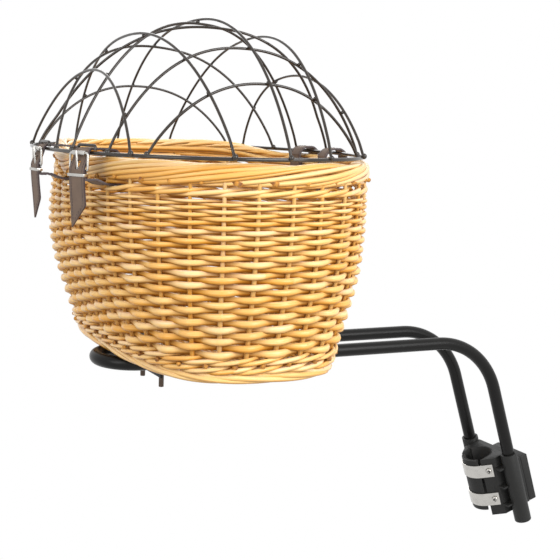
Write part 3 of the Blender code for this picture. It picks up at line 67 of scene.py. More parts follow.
# Places that come from the frame
FOOT_LOW, FOOT_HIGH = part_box("basket_foot")
BASE = Vector(((FOOT_LOW.x + FOOT_HIGH.x) / 2, 0, FOOT_LOW.z))

# Basket. Its sizes are those of the model, and heights are told from its underside.
GAP = 0.0003
TOP_HALF_X = 0.172
TOP_HALF_Y = 0.244
TOP_POWER = 2.2
BOTTOM_HALF_X = 0.116
BOTTOM_HALF_Y = 0.210
BOTTOM_POWER = 3.1
FLARE_HEIGHT = 0.175
FLARE_POWER = 1.25
WALL_INSET = 0.002
WALL_THICKNESS = 0.013
BORDER_HEIGHT = 0.0264
BORDER_DEPTH = 0.020
FOOT_HEIGHT = 0.012
FOOT_DEPTH = 0.014
FLOOR_MIDDLE = 0.007

# Lid. What is called seen is finer than the same wire of the model, as in the photograph.
RING_HEIGHT = 0.235
RING_WIRE = 0.006
RING_SEEN = 0.0042
RING_SETBACK = 0.013
RING_HALF_X = 0.177
RING_HALF_Y = 0.240
RING_STEPS = 180
RING_WALK_DEGREES = 0.25
DOME_HEIGHT = 0.1475
DOME_SWELL_POWER = 2.4
DOME_CROWN_POWER = 0.87
DOME_TILT_SHARE = -0.12
DOME_LEAN_SHARE = -0.02
ARCH_WIRE = 0.0038
ARCH_SEEN = 0.0031
WELD_GAP = 0.0008
WELD_REACH_SHARE = 2.2
WELD_FOOT_SIZE = 1.25
WELD_CROSS_SIZE = 0.9
WELD_SIDES = 8
INNER_RAMP = 20
FOOT_RISE = 0.011
GUIDE_WIRE = 0.0035
GUIDE_RISE = 0.0047
GUIDE_CORNER = 0.003
CORNER_STEPS = 6

# The border lies under the ring
BORDER_TOP = RING_HEIGHT - RING_WIRE / 2 - GAP
BORDER_BOTTOM = BORDER_TOP - BORDER_HEIGHT
BORDER_MIDDLE = BORDER_TOP - BORDER_HEIGHT / 2

# Bow under the basket, its legs along the seat tube, and the leaf that locks them
TUBE_LEAN = radians(18)
LEAN_TURN = Matrix.Rotation(-TUBE_LEAN, 3, "Y")
ROD_DIAMETER = 0.016
ROD_SPACING = 0.084
ROD_CENTRE = -ROD_DIAMETER / 2 - GAP
BOW_TAIL = 0.131
BOW_TAIL_STEPS = 56
BOW_BEND_RADIUS = 0.095
BOW_BEND_STEPS = 30
LEG_FORWARD = 0.0195
LEG_LOW = -0.050
NOTCH_DEPTH = 0.0022
NOTCH_HEIGHT = 0.012
NOTCH_WIDTH = 0.016
NOTCH_MIDDLE = -0.003

# Straps and buckles
STRAP_WIDTH = 0.022
STRAP_THICKNESS = 0.002
STRAP_COLUMNS = (-1.0, -0.62, -0.23, 0.23, 0.62, 1.0)
SLOT_DROP = 0.0030
SLOT_LEAD = 0.0034
SLOT_SHIFT = 0.012
TAIL_LENGTH = 0.054
TAIL_TAPER = 0.024
HINGE_TAIL_DROP = 0.050
HINGE_LAP = 0.020
HINGE_SLACK = 0.0009
STITCH_START = 0.006
STITCH_RADIUS = 0.00030
STITCH_LENGTH = 0.0022
STITCH_SIDES = 5
STITCH_INSET_SHARE = 0.13
STITCH_LEAST_WIDTH_SHARE = 0.3
STITCH_END_SHARE = 0.08
BUCKLE_WIRE = 0.0026
BUCKLE_HEIGHT = 0.018
BUCKLE_SIDE_ROOM = 0.0009
BUCKLE_CORNER = 0.0025
ROLLER_DIAMETER = 0.0048
PRONG_EYE_DIAMETER = 0.0056
KEEPER_HEIGHT = 0.0032

# Holes of the straps: how far before the strap's end each starts and stops
PRONG_HOLE = (TAIL_LENGTH + 0.0185, TAIL_LENGTH + 0.0080)
RIVET_HOLE = (0.0095, 0.0060)

# Rounding of edges, from large mouldings to small metalwork
WIDE_EDGE = 0.0006
SHELL_EDGE = 0.0005
COVER_EDGE = 0.0004
SOFT_EDGE = 0.0003
FINE_EDGE = 0.0002
STRAP_EDGE_SHARE = 0.28
ROUNDING_STEPS = 2
MOULDED_ANGLE = radians(32)
STRAP_CORNER_ANGLE = radians(50)
STRAP_ANGLE = radians(60)
TUBE_ANGLE = radians(40)

# What counts as flat and as one point where the model's own shapes are cleaned
FLAT_ANGLE = radians(0.6)
SAME_POINT = GAP / 30

# Ring angles of a wire's feet in degrees, its bulge share, its skew share, and its side of the
# dome's surface: 1 outer, -1 inner
DOME_WIRES = {
    "arch_across_1": (221.8, 147.0, -0.049, 0.4, 1),
    "arch_across_2": (254.9, 110.5, 0.048, -0.1, 1),
    "arch_across_3": (271.3, 91.0, 0.013, 1.7, 1),
    "arch_across_4": (286.5, 70.5, -0.023, 0.4, 1),
    "arch_across_5": (314.0, 38.0, 0.033, 0.7, 1),
    "arch_along_1": (139.4, 43.8, 0.026, -0.5, -1),
    "arch_along_2": (186.2, 22.5, 0.170, -0.7, -1),
    "arch_along_3": (195.4, 10.8, -0.035, 0.0, -1),
    "arch_along_4": (170.0, 356.3, -0.200, 1.6, -1),
    "arch_along_5": (212.0, 331.0, -0.054, 1.5, -1),
    "arch_along_6": (226.5, 310.0, -0.025, -0.9, -1),
}
INNER_WIRE = "arch_along_4"

# Ring angle in degrees, and turn against the ring, of each strap
CLOSURE_STRAPS = {"1": (203.7, radians(9)), "2": (180.0, radians(4))}
HINGE_STRAPS = {"1": (6.5, 0.0), "2": (352.5, 0.0)}

# Courses of the wall, with the shares by which hand-woven rods drift
POINTS_PER_STAKE = 10
STAKE_PHASE = -0.03
FIRST_COURSE = 0.0322
LAST_COURSE = 0.1935
COURSE_PITCH = 0.00705
COURSE_THINNING = 0.0020
COURSE_TIPS = 0.0024
MIDDLE_THICKNESS_SHARE = 0.535
FRONT_THICKNESS_SHARE = 0.09
DROOP_SHARE = 0.03
SLANT_SHARE = 0.08
SWING_DRIFT_SHARE = 0.06
GIRTH_DRIFT_SHARE = 0.07
LEVEL_DRIFT_SHARE = 0.12
DRIFT_KNOTS = 24
RODS_PER_COURSE = 5
BEND_SHARPNESS = 0.6

# Room that the courses leave for the straps
SLOT_PARTING = 0.0030
PARTING_CLEAR_SHARE = 0.62
PARTING_FADE_SHARE = 0.8

# Stakes
STAKE_RADIUS = 0.0024
STAKE_BITE = 0.0008
STAKE_LEAN_SHARE = 0.03
STAKE_STEPS = 30
STAKE_ENDS_SHARES = (0.4, 0.35)
STAKE_TAPER = (1.12, 0.86)
STAKE_GIRTHS = (0.92, 1.08)
# Depth in the weave given to the stakes, which sets their painted shade in the willow finish and their
# coat.
STAKE_FRONT = 0.2

# Far part of the hand-made rim, which stands up and leans in
FAR_RIM_RISE = 0.0115
FAR_RIM_LEAN_SHARE = 0.75
FAR_RIM_TURN = radians(105)
FAR_RIM_SPREAD = radians(80)
FAR_RIM_RAMP = radians(35)
RISE_START = 0.110

# Waling: height of each row and how far its rods climb from stake to stake
WALES = ((0.0152, 0.0042), (0.0246, 0.0042), (0.2004, 0.0038))
WALE_ROD = 0.0025
WALE_RODS = 3
WALE_PIECES = 9
WALE_BEHIND_SHARE = 0.35
WALE_DRIFT_SHARE = 0.06
WALE_FRONT_SHARES = (0.90, 0.14)

# Rolled borders: how many stakes a strand spans, where in the roll it starts and how far it turns
BORDER_ROD = 0.0029
BORDER_SPAN = 8.0
BORDER_START = radians(-100)
BORDER_TURN = radians(250)
FOOT_ROD = 0.0031
FOOT_SPAN = 5.4
FOOT_START = radians(95)
FOOT_TURN = radians(-215)

# How a strand varies: a range is drawn from, and a wave has a height, beats and a shift by strand
STRAND_POINTS = 64
STRAND_SPANS = (0.97, 1.03)
STRAND_TURNS = (-0.16, 0.16)
STRAND_TURN_WAVE = (0.09, 8, 2.3)
STRAND_BULGES = (0.84, 1.02)
STRAND_BULGE_WAVE = (0.05, 9, 1.7)
STRAND_GIRTHS = (0.84, 1.14)
STRAND_TIP_SHARE = 0.05
STRAND_TIP_GIRTH = 0.35
STRAND_TAPER = (1.08, 0.20)

# Floor: oval rings over sticks that meet in the middle
FLOOR_PITCH = 0.0056
FLOOR_STICKS = 32
FLOOR_ROD = 0.0022
FLOOR_SWING = 0.0014
FLOOR_PIECES = 5
FLOOR_HEART_POWER = 2.0
STICK_ROD_SHARE = 0.8
STICK_REACH_SHARE = 0.99
STICK_STEPS = 8

# Rods that fill the rolls: out and up from the middle
CORE_STEPS_PER_STAKE = 4
BORDER_CORES = ((0.0, 0.0045), (0.0018, -0.0035), (-0.0036, 0.0))
BORDER_CORE_ROD = 0.0034
FOOT_CORE_ROD = 0.0040

# Cut ends of rods: place beside the stake as a share of the spacing, spread in height, range of
# depths and of sizes, facing outward, along and up, and the size of an end
END_DROP_SHARE = 0.24
END_WANDER_SHARE = 0.1
BORDER_ENDS = {"beside": 0.35, "spread": 0.0015, "depths": (0.0042, 0.0056), "sizes": (0.75, 1.05),
               "facing": (0.60, 0.74, -0.28), "radius": 0.0025, "length": 0.0110, "sides": 12}
WALING_ENDS = {"beside": 0.45, "spread": 0.0010, "depths": (0.0018, 0.0018), "sizes": (1.0, 1.0),
               "facing": (0.7, 0.7, -0.1), "radius": 0.0022, "length": 0.0046, "sides": 10}

# Sections of the swept rods: depth over height, and the sides of the floor's rods
WALE_SECTION = 0.90
ROLL_SECTION = 0.95
FLOOR_SECTION = 1.15
FLOOR_SIDES = 6

# First number of each kind of rod. A rod's number chooses its tone.
COURSE_NUMBERS = 64
WALE_NUMBERS = 9000
WALE_ROW_NUMBERS = 200
WALE_ROD_NUMBERS = 60
BORDER_NUMBERS = 12000
BORDER_CORE_NUMBERS = 12900
FOOT_NUMBERS = 15000
FOOT_CORE_NUMBERS = 15900
FLOOR_NUMBERS = 20000
FLOOR_RING_NUMBERS = 16
STICK_NUMBERS = 21000

# What is added to the seed for each kind of piece
STAKE_SEED = 1
WALE_SEED = 2
END_SEED = 3

# Least and most share of its size that a scattered piece takes
SCATTER_SIZES = (0.85, 1.15)

# View of the photograph: 560 pixels square
IMAGE_SIZE = 560
FOCAL_PIXELS = 1172.6
AXIS_PIXEL = (198.2, 221.6)
SENSOR = 36.0
CAMERA_PLACE = (-0.5643, -1.2760, 0.2814)
CAMERA_RIGHT = (0.9152, -0.4020, 0.0263)
CAMERA_BACK = (-0.4027, -0.9105, 0.0938)

# Stage. Each light has a place, a target, a size and the setting that holds its power.
LIGHTS = {
    "key": ((0.50, -2.5, 1.35), (-0.35, 0.0, 0.40), 2.2, "key_power"),
    "fill": ((-2.1, -0.9, 0.9), (-0.40, 0.0, 0.35), 1.2, "fill_power"),
    "back": ((0.4, 1.9, 1.6), (-0.35, 0.0, 0.40), 1.4, "fill_power"),
}
STAGE_HALF = 14.0
STAGE_GREY = (0.42, 0.42, 0.42)
WHITE = (1.0, 1.0, 1.0)


# Settings

def counted(label, description, default, least, most):
    return IntProperty(name=label, description=description, default=default, min=least, max=most)


def measured(label, description, default, unit="LENGTH"):
    return FloatProperty(name=label, description=description, default=default, unit=unit)


def coloured(label, description, default):
    return FloatVectorProperty(name=label, description=description, subtype="COLOR",
                               default=default, min=0, max=1)


class WeaveSettings(bpy.types.PropertyGroup):
    stakes: counted("Stakes", "Upright stakes round the basket", 36, 12, 72)
    section: FloatProperty(name="Rod section", description="Depth of a woven rod over its height",
                           default=0.74, min=0.3, max=1.0)
    rod_sides: counted("Rod sides", "Sides of a rod's section", 8, 4, 16)
    honey: coloured("Honey", "Darker willow", (0.80, 0.372, 0.052))
    straw: coloured("Straw", "Paler willow", (0.93, 0.610, 0.236))
    seed: IntProperty(name="Seed", description="Which rods are pale and which dark", default=5)


class DomeSettings(bpy.types.PropertyGroup):
    wire_steps: counted("Wire steps", "Steps along a dome wire", 96, 16, 200)
    wire_sides: counted("Wire sides", "Sides of a wire's section", 12, 6, 24)
    bead: measured("Weld bead", "Radius of a weld", 0.0024)
    enamel: coloured("Enamel", "Colour of the wires", (0.018, 0.0135, 0.0100))


class LeatherSettings(bpy.types.PropertyGroup):
    steps: counted("Strap steps", "Steps between two points of a strap", 7, 2, 20)
    stitch_pitch: measured("Stitch pitch", "Distance between stitches", 0.0034)
    taupe: coloured("Taupe", "Colour of the leather's face", (0.142, 0.094, 0.066))
    edge: coloured("Edge", "Colour of the leather's edges", (0.050, 0.032, 0.034))


class MetalSettings(bpy.types.PropertyGroup):
    tube_sides: counted("Tube sides", "Sides of the bow's tube", 32, 12, 64)
    powder: coloured("Powder coat", "Colour of the bow", (0.0045, 0.0043, 0.0040))
    plating: coloured("Plating", "Colour of plated steel", (0.56, 0.545, 0.515))
    plastic: coloured("Plastic", "Colour of the bracket", (0.010, 0.010, 0.0095))


class StageSettings(bpy.types.PropertyGroup):
    floor_drop: measured("Floor drop", "Floor below the origin", 0.30)
    key_power: measured("Key light", "Power of the large light", 70.0, "POWER")
    fill_power: measured("Fill light", "Power of the side light and the back light", 11.0, "POWER")
    sky: FloatProperty(name="Sky", description="Strength of the even light", default=0.90)


SETTINGS = {
    "dog_basket_weave": WeaveSettings,
    "dog_basket_dome": DomeSettings,
    "dog_basket_leather": LeatherSettings,
    "dog_basket_metal": MetalSettings,
    "dog_basket_stage": StageSettings,
}


# Node trees

def arithmetic(name, swapped=False):
    """A method that does arithmetic on a signal and what it is given."""
    def worked_out(self, *others):
        values = (*others, self) if swapped else (self, *others)
        return self.tree.math(name, *values)
    return worked_out


class Signal:
    """One socket of a node tree, with arithmetic."""

    def __init__(self, tree, socket):
        self.tree = tree
        self.socket = socket

    __add__ = __radd__ = arithmetic("ADD")
    __sub__ = arithmetic("SUBTRACT")
    __rsub__ = arithmetic("SUBTRACT", swapped=True)
    __mul__ = __rmul__ = arithmetic("MULTIPLY")
    __truediv__ = arithmetic("DIVIDE")
    __abs__ = arithmetic("ABSOLUTE")
    at_most = arithmetic("MINIMUM")
    at_least = arithmetic("MAXIMUM")

    def held(self):
        """The value kept between 0 and 1."""
        return self.at_least(0.0).at_most(1.0)


class Tree:
    """A shader or geometry tree, to which one method adds any node."""

    def __init__(self, nodes):
        self.nodes = nodes

    def add(self, kind, settings=None, sockets=None):
        node = self.nodes.nodes.new(kind)
        for name, value in (settings or {}).items():
            setattr(node, name, value)
        for name, value in (sockets or {}).items():
            self.feed(node.inputs[name], value)
        return node

    def feed(self, socket, value):
        if isinstance(value, Signal):
            self.nodes.links.new(value.socket, socket)
        elif isinstance(value, bpy.types.NodeSocket):
            self.nodes.links.new(value, socket)
        else:
            socket.default_value = value

    def out(self, kind, settings=None, sockets=None, output=0):
        """Add a node and give back one of its outputs."""
        return Signal(self, self.add(kind, settings, sockets).outputs[output])

    def math(self, operation, *values):
        return self.out("ShaderNodeMath", {"operation": operation}, dict(enumerate(values)))

    def mixed(self, share, first, second):
        """Mix two colours."""
        return self.out("ShaderNodeMix", {"data_type": "RGBA"}, {0: share, 6: first, 7: second}, 2)

    def carried(self, kind, name):
        """A value that the points carry."""
        return self.out("GeometryNodeInputNamedAttribute", {"data_type": kind}, {"Name": name})

    def carry(self, geometry, name, value):
        """Geometry whose points carry a new value."""
        return self.out("GeometryNodeStoreNamedAttribute", {"data_type": "FLOAT", "domain": "POINT"},
                        {"Geometry": geometry, "Name": name, "Value": value})


class Shader(Tree):
    """A material's tree, from an empty start to its surface."""

    def __init__(self, name):
        self.material = bpy.data.materials.new(name)
        self.material.use_nodes = True
        super().__init__(self.material.node_tree)
        self.nodes.nodes.clear()

    def place(self):
        """Object coordinates."""
        return self.out("ShaderNodeTexCoord", output="Object")

    def attribute(self, name):
        return self.out("ShaderNodeAttribute", {"attribute_name": name}, output="Fac")

    def vector(self, x, y, z):
        return self.out("ShaderNodeCombineXYZ", None, {0: x, 1: y, 2: z})

    def part(self, vector, number):
        """One coordinate of a vector."""
        return self.out("ShaderNodeSeparateXYZ", None, {0: vector}, number)

    def noise(self, where, scale, detail=2.0, roughness=0.5):
        sockets = {"Vector": where, "Scale": scale, "Detail": detail, "Roughness": roughness}
        return self.out("ShaderNodeTexNoise", None, sockets, "Fac")

    def cells(self, where, scale):
        return self.out("ShaderNodeTexVoronoi", None, {"Vector": where, "Scale": scale}, "Distance")

    def ramp(self, value, *stops):
        """A colour ramp from pairs of place and colour."""
        node = self.add("ShaderNodeValToRGB")
        elements = node.color_ramp.elements
        while len(elements) < len(stops):
            elements.new(0.5)
        for element, (place, colour) in zip(elements, stops):
            element.position = place
            element.color = (*colour, 1.0)
        self.feed(node.inputs[0], value)
        return Signal(self, node.outputs[0])

    def bump(self, height, depth, strength, under=None):
        sockets = {"Height": height, "Distance": depth, "Strength": strength}
        if under is not None:
            sockets["Normal"] = under
        return self.out("ShaderNodeBump", None, sockets)

    def surface(self, **sockets):
        """Finish with a Principled shader; socket names are written with underscores."""
        shader = self.add("ShaderNodeBsdfPrincipled", None,
                          {name.replace("_", " "): value for name, value in sockets.items()})
        self.add("ShaderNodeOutputMaterial", None, {"Surface": shader.outputs[0]})
        return self.material


def shade(colour, share):
    """A colour made darker or lighter."""
    return tuple(min(1.0, part * share) for part in colour)


def opaque(colour, share=1.0):
    """A colour with its alpha, darker or lighter by a share."""
    return (*shade(colour, share), 1.0)


# Finishes

def willow(settings, name="willow", strength=1.0):
    """Peeled, varnished willow: each rod its own tone, with streaks, freckles and stains, painted light
    on faces that point up, and painted shade in the weave's recesses and on faces that point down.
    """
    shader = Shader(name)
    tone = shader.attribute("rod_tone")
    along = shader.attribute("rod_along")
    around = shader.attribute("rod_around")
    front = shader.attribute("rod_front")
    upward = shader.part(shader.out("ShaderNodeNewGeometry", output="Normal"), 2)
    honey, straw = shade(settings.honey, strength), shade(settings.straw, strength)
    swirl = abs(around - 0.5)
    cloud = shader.noise(shader.vector(along * 9.0, swirl * 3.0, tone * 61.0), 1.0, 3.0)
    streak = shader.noise(shader.vector(along * 26.0, swirl * 26.0, tone * 97.0), 1.0, 4.0, 0.65)
    # Level of the colour ramp: each rod's own tone, clouds and streaks, plus painted top light that
    # makes faces pointing up paler and faces pointing down darker.
    level = (tone * 0.34 + cloud * 0.50 + (streak - 0.5) * 0.70 + upward * 0.15 + 0.10).held()
    russet = (honey[0] * 0.58, honey[1] * 0.38, honey[2] * 0.20)
    # Palest stop of the ramp: the colour of pale rods, and also a painted highlight that faces pointing
    # up are pushed towards.
    pale_and_lit = (straw[0] * 1.05, straw[1] * 1.14, straw[2] * 2.2)
    colour = shader.ramp(level, (0.0, russet), (0.30, honey), (0.62, straw), (1.0, pale_and_lit))
    place = shader.place()
    patches = shader.noise(place, 22.0, 2.0)
    freckle = ((0.16 - shader.cells(place, 150.0)) * 9.0).held() * ((patches - 0.56) * 9.0).held()
    colour = shader.mixed(freckle * 0.55, colour, opaque((0.16, 0.062, 0.018)))
    stain = ((shader.noise(place, 9.0, 3.0) - 0.60) * 5.0).held()
    colour = shader.mixed(stain * 0.35, colour, opaque(honey, 0.62))
    # Painted shade towards a deep brown: darker the further back a rod lies in the weave, and darker on
    # faces that point down.
    painted_shade = ((0.60 - front) * 0.46).held() + ((-0.10 - upward) * 0.85).held()
    colour = shader.mixed(painted_shade.at_most(0.9), colour, opaque((0.29, 0.098, 0.004)))
    fine = shader.bump(streak, depth=0.0004, strength=0.35)
    lumpy = shader.bump(cloud, depth=0.0012, strength=0.30, under=fine)
    varnish = ((front + 0.15) * 0.9 + upward * 0.4).held()
    return shader.surface(Base_Color=colour, Roughness=(0.42 + streak * 0.20).held(), IOR=1.2,
                          Coat_Weight=varnish, Coat_Roughness=0.28, Coat_IOR=1.4, Normal=lumpy)


def cut_wood(settings):
    """The cut end of a rod: pale wood with brown pith."""
    shader = Shader("cut_willow")
    place = shader.place()
    mottle = shader.noise(place, 420.0, 3.0)
    pith = ((shader.cells(place, 160.0) - 0.25) * 2.5).held()
    colour = shader.mixed(pith, opaque((0.20, 0.075, 0.022)), opaque(settings.honey, 0.95))
    colour = shader.mixed(mottle * 0.6, colour, opaque((0.30, 0.12, 0.035)))
    return shader.surface(Base_Color=colour, Roughness=0.75,
                          Normal=shader.bump(mottle, depth=0.0004, strength=0.6))


def enamel(settings):
    """Thick brown-black enamel on wire, with runs and a high gloss."""
    shader = Shader("dark_enamel")
    place = shader.place()
    runs = shader.noise(place, 60.0, 3.0)
    fine = shader.noise(place, 900.0, 2.0)
    wear = ((runs - 0.66) * 8.0).held()
    colour = shader.mixed((runs * 0.8).held(), opaque(settings.enamel), opaque(settings.enamel, 2.1))
    uneven = shader.bump(runs, depth=0.0006, strength=0.3)
    return shader.surface(Base_Color=colour, Roughness=(0.07 + wear * 0.22 + fine * 0.07).held(),
                          IOR=1.50, Normal=shader.bump(fine, depth=0.0001, strength=0.25, under=uneven))


def powder_coat(settings):
    """Black powder coat with a slight orange peel."""
    shader = Shader("black_powder_coat")
    place = shader.place()
    peel = shader.noise(place, 620.0, 2.0)
    cloud = shader.noise(place, 24.0, 2.0)
    colour = shader.mixed(cloud, opaque(settings.powder), opaque(settings.powder, 1.5))
    return shader.surface(Base_Color=colour, Roughness=(0.24 + peel * 0.10 + cloud * 0.06).held(),
                          IOR=1.30, Normal=shader.bump(peel, depth=0.00012, strength=0.5))


def plastic(settings):
    """Moulded black plastic with a fine leather-like grain."""
    shader = Shader("black_plastic")
    place = shader.place()
    grain = shader.cells(place, 1500.0)
    haze = shader.noise(place, 35.0, 3.0)
    colour = shader.mixed(haze, opaque(settings.plastic), opaque(settings.plastic, 1.45))
    return shader.surface(Base_Color=colour, Roughness=(0.46 + haze * 0.12).held(), IOR=1.38,
                          Normal=shader.bump(grain, depth=0.00022, strength=0.55))


def rubber():
    """Matt black rubber with dust."""
    shader = Shader("black_rubber")
    dust = shader.noise(shader.place(), 140.0, 4.0)
    colour = shader.mixed(dust, opaque((0.014, 0.014, 0.014)), opaque((0.034, 0.033, 0.032)))
    return shader.surface(Base_Color=colour, Roughness=(0.72 + dust * 0.2).held(),
                          Normal=shader.bump(dust, depth=0.0003, strength=0.5))


def plated(settings):
    """Bright plated steel with fine brushing and a few dull spots."""
    shader = Shader("plated_steel")
    place = shader.place()
    drawn = shader.out("ShaderNodeMapping", None, {"Vector": place, "Scale": (900.0, 900.0, 60.0)})
    brush = shader.noise(drawn, 1.0, 3.0)
    dull = shader.noise(place, 130.0, 3.0)
    spots = ((dull - 0.45) * 2.0).held()
    colour = shader.mixed(spots, opaque(settings.plating), opaque(settings.plating, 0.78))
    return shader.surface(Base_Color=colour, Metallic=1.0,
                          Roughness=(0.16 + brush * 0.12 + dull * 0.10).held(),
                          Normal=shader.bump(brush, depth=0.00004, strength=0.3))


def brown_steel():
    """Dull browned steel of the bolts and nuts, blotched and gritty."""
    shader = Shader("browned_steel")
    place = shader.place()
    bloom = shader.noise(place, 160.0, 4.0)
    grit = shader.noise(place, 1300.0, 2.0)
    colour = shader.mixed(bloom, opaque((0.060, 0.040, 0.028)), opaque((0.150, 0.105, 0.080)))
    return shader.surface(Base_Color=colour, Metallic=0.6, Roughness=(0.42 + grit * 0.25).held(),
                          Normal=shader.bump(grit, depth=0.0001, strength=0.5))


def leather(settings):
    """Taupe strap leather: pebbled face, burnished dark edges and a crease beside each edge."""
    shader = Shader("taupe_leather")
    across = abs(shader.part(shader.out("ShaderNodeUVMap", {"uv_map": "strap"}), 1))
    half = STRAP_WIDTH / 2
    place = shader.place()
    pebble = shader.cells(place, 1100.0)
    cloud = shader.noise(place, 70.0, 4.0)
    edge = ((across - half * 0.90) / (half * 0.06)).held()
    crease = (1.0 - abs(across - half * 0.74) / (half * 0.07)).held()
    dark = opaque(settings.edge)
    colour = shader.mixed(cloud, opaque(settings.taupe, 0.74), opaque(settings.taupe, 1.30))
    colour = shader.mixed(edge, shader.mixed(crease * 0.55, colour, dark), dark)
    height = pebble * 0.35 - crease * 1.6 + cloud * 0.5
    return shader.surface(Base_Color=colour, Roughness=(0.50 + cloud * 0.22 - edge * 0.12).held(),
                          Normal=shader.bump(height, depth=0.0003, strength=0.6))


def thread():
    """Dark waxed thread."""
    shader = Shader("waxed_thread")
    twist = shader.noise(shader.place(), 1600.0, 2.0)
    colour = shader.mixed(twist, opaque((0.030, 0.020, 0.024)), opaque((0.085, 0.060, 0.066)))
    return shader.surface(Base_Color=colour, Roughness=0.6,
                          Normal=shader.bump(twist, depth=0.0001, strength=0.5))


FINISHES = {
    "willow": lambda scene: willow(scene.dog_basket_weave),
    "stake": lambda scene: willow(scene.dog_basket_weave, "willow_stakes", 0.86),
    "cut": lambda scene: cut_wood(scene.dog_basket_weave),
    "dark_wire": lambda scene: enamel(scene.dog_basket_dome),
    "black_tube": lambda scene: powder_coat(scene.dog_basket_metal),
    "black_plastic": lambda scene: plastic(scene.dog_basket_metal),
    "black_rubber": lambda scene: rubber(),
    "plated_steel": lambda scene: plated(scene.dog_basket_metal),
    "brown_steel": lambda scene: brown_steel(),
    "taupe_leather": lambda scene: leather(scene.dog_basket_leather),
    "thread": lambda scene: thread(),
}


@cache
def finish_of(name):
    """A finish by name, made once."""
    return FINISHES[name](bpy.context.scene)


# Geometry trees

def new_geometry_tree(name, inputs):
    """A geometry tree with named inputs, and what those inputs give."""
    group = bpy.data.node_groups.new(name, "GeometryNodeTree")
    group.interface.new_socket("Geometry", in_out="INPUT", socket_type="NodeSocketGeometry")
    for label, kind, default in inputs:
        item = group.interface.new_socket(label, in_out="INPUT", socket_type=kind)
        if default is not None:
            item.default_value = default
    group.interface.new_socket("Geometry", in_out="OUTPUT", socket_type="NodeSocketGeometry")
    tree = Tree(group)
    return tree, tree.add("NodeGroupInput").outputs


def end_geometry_tree(tree, geometry, material):
    """Realise instances, give the material and close the tree."""
    real = tree.out("GeometryNodeRealizeInstances", None, {0: geometry})
    painted = tree.out("GeometryNodeSetMaterial", None, {"Geometry": real, "Material": material})
    smooth = tree.out("GeometryNodeSetShadeSmooth", None, {"Geometry": painted})
    tree.add("NodeGroupOutput", None, {0: smooth})
    return tree.nodes


def sweep_tree():
    """Sweeps a round or flattened section along every line, as thick as rod_radius says."""
    tree, given = new_geometry_tree("swept_rods", [
        ("Section", "NodeSocketFloat", 1.0),
        ("Sides", "NodeSocketInt", 8),
        ("Seed", "NodeSocketInt", 0),
        ("Upright", "NodeSocketBool", False),
        ("Material", "NodeSocketMaterial", None),
    ])
    radius = tree.carried("FLOAT", "rod_radius")
    tone = tree.out("FunctionNodeRandomValue", {"data_type": "FLOAT"},
                    {"ID": tree.carried("INT", "rod_number"), "Seed": given["Seed"]}, 1)
    lines = tree.out("GeometryNodeMeshToCurve", None, {"Mesh": given["Geometry"]})
    toned = tree.carry(lines, "rod_tone", tone)
    level = tree.out("GeometryNodeSetCurveNormal", {"mode": "Z_UP"}, {"Curve": toned})
    chosen = tree.out("GeometryNodeSwitch", {"input_type": "GEOMETRY"},
                      {"Switch": given["Upright"], "False": level, "True": toned})
    thick = tree.out("GeometryNodeSetCurveRadius", None, {"Curve": chosen, "Radius": radius})
    circle = tree.out("GeometryNodeCurvePrimitiveCircle", None,
                      {"Resolution": given["Sides"], "Radius": 1.0})
    marked = tree.carry(circle, "rod_around", tree.out("GeometryNodeSplineParameter", output="Factor"))
    scale = tree.out("ShaderNodeCombineXYZ", None, {0: given["Section"], 1: 1.0, 2: 1.0})
    section = tree.out("GeometryNodeTransform", None, {"Geometry": marked, "Scale": scale})
    solid = tree.add("GeometryNodeCurveToMesh", None,
                     {"Curve": thick, "Profile Curve": section, "Fill Caps": True})
    if "Scale" in solid.inputs:
        tree.feed(solid.inputs["Scale"], radius)
    return end_geometry_tree(tree, solid.outputs[0], given["Material"])


def scatter_tree(name, shape):
    """Puts a small shape on every point, turned along its facing and sized by its size."""
    tree, given = new_geometry_tree(name, [
        ("Radius", "NodeSocketFloat", 0.001),
        ("Length", "NodeSocketFloat", 0.002),
        ("Sides", "NodeSocketInt", 6),
        ("Seed", "NodeSocketInt", 0),
        ("Material", "NodeSocketMaterial", None),
    ])
    sides, radius = given["Sides"], given["Radius"]
    if shape == "ball":
        one = tree.out("GeometryNodeMeshUVSphere", None,
                       {"Segments": sides, "Rings": sides, "Radius": radius})
    else:
        one = tree.out("GeometryNodeMeshCylinder", None,
                       {"Vertices": sides, "Radius": radius, "Depth": given["Length"]})
    turn = tree.out("FunctionNodeAlignRotationToVector", {"axis": "Z"},
                    {"Vector": tree.carried("FLOAT_VECTOR", "facing")})
    least, most = SCATTER_SIZES
    wobble = tree.out("FunctionNodeRandomValue", {"data_type": "FLOAT"},
                      {2: least, 3: most, "Seed": given["Seed"]}, 1)
    placed = tree.out("GeometryNodeInstanceOnPoints", None,
                      {"Points": given["Geometry"], "Instance": one, "Rotation": turn,
                       "Scale": tree.carried("FLOAT", "size") * wobble})
    return end_geometry_tree(tree, placed, given["Material"])


SCATTERED_SHAPES = {"cut_ends": "cylinder", "stitches": "cylinder", "weld_beads": "ball"}


@cache
def tree_of(name):
    """A geometry tree by name, built once."""
    if name in SCATTERED_SHAPES:
        return scatter_tree(name, SCATTERED_SHAPES[name])
    return sweep_tree()


def grown(thing, tree, values):
    """Run a geometry tree on an object, and keep the result as its plain mesh."""
    group = tree_of(tree)
    grow = thing.modifiers.new(tree, "NODES")
    grow.node_group = group
    for item in group.interface.items_tree:
        if item.item_type == "SOCKET" and item.in_out == "INPUT" and item.name in values:
            grow[item.identifier] = values[item.name]
    return made_plain(thing)


def made_plain(thing):
    """Apply what an object's modifiers make, and drop them."""
    bpy.context.view_layer.update()
    shown = thing.evaluated_get(bpy.context.evaluated_depsgraph_get())
    mesh = bpy.data.meshes.new_from_object(shown)
    mesh.name = thing.name
    thing.modifiers.clear()
    thing.data = mesh
    return thing


# Making pieces

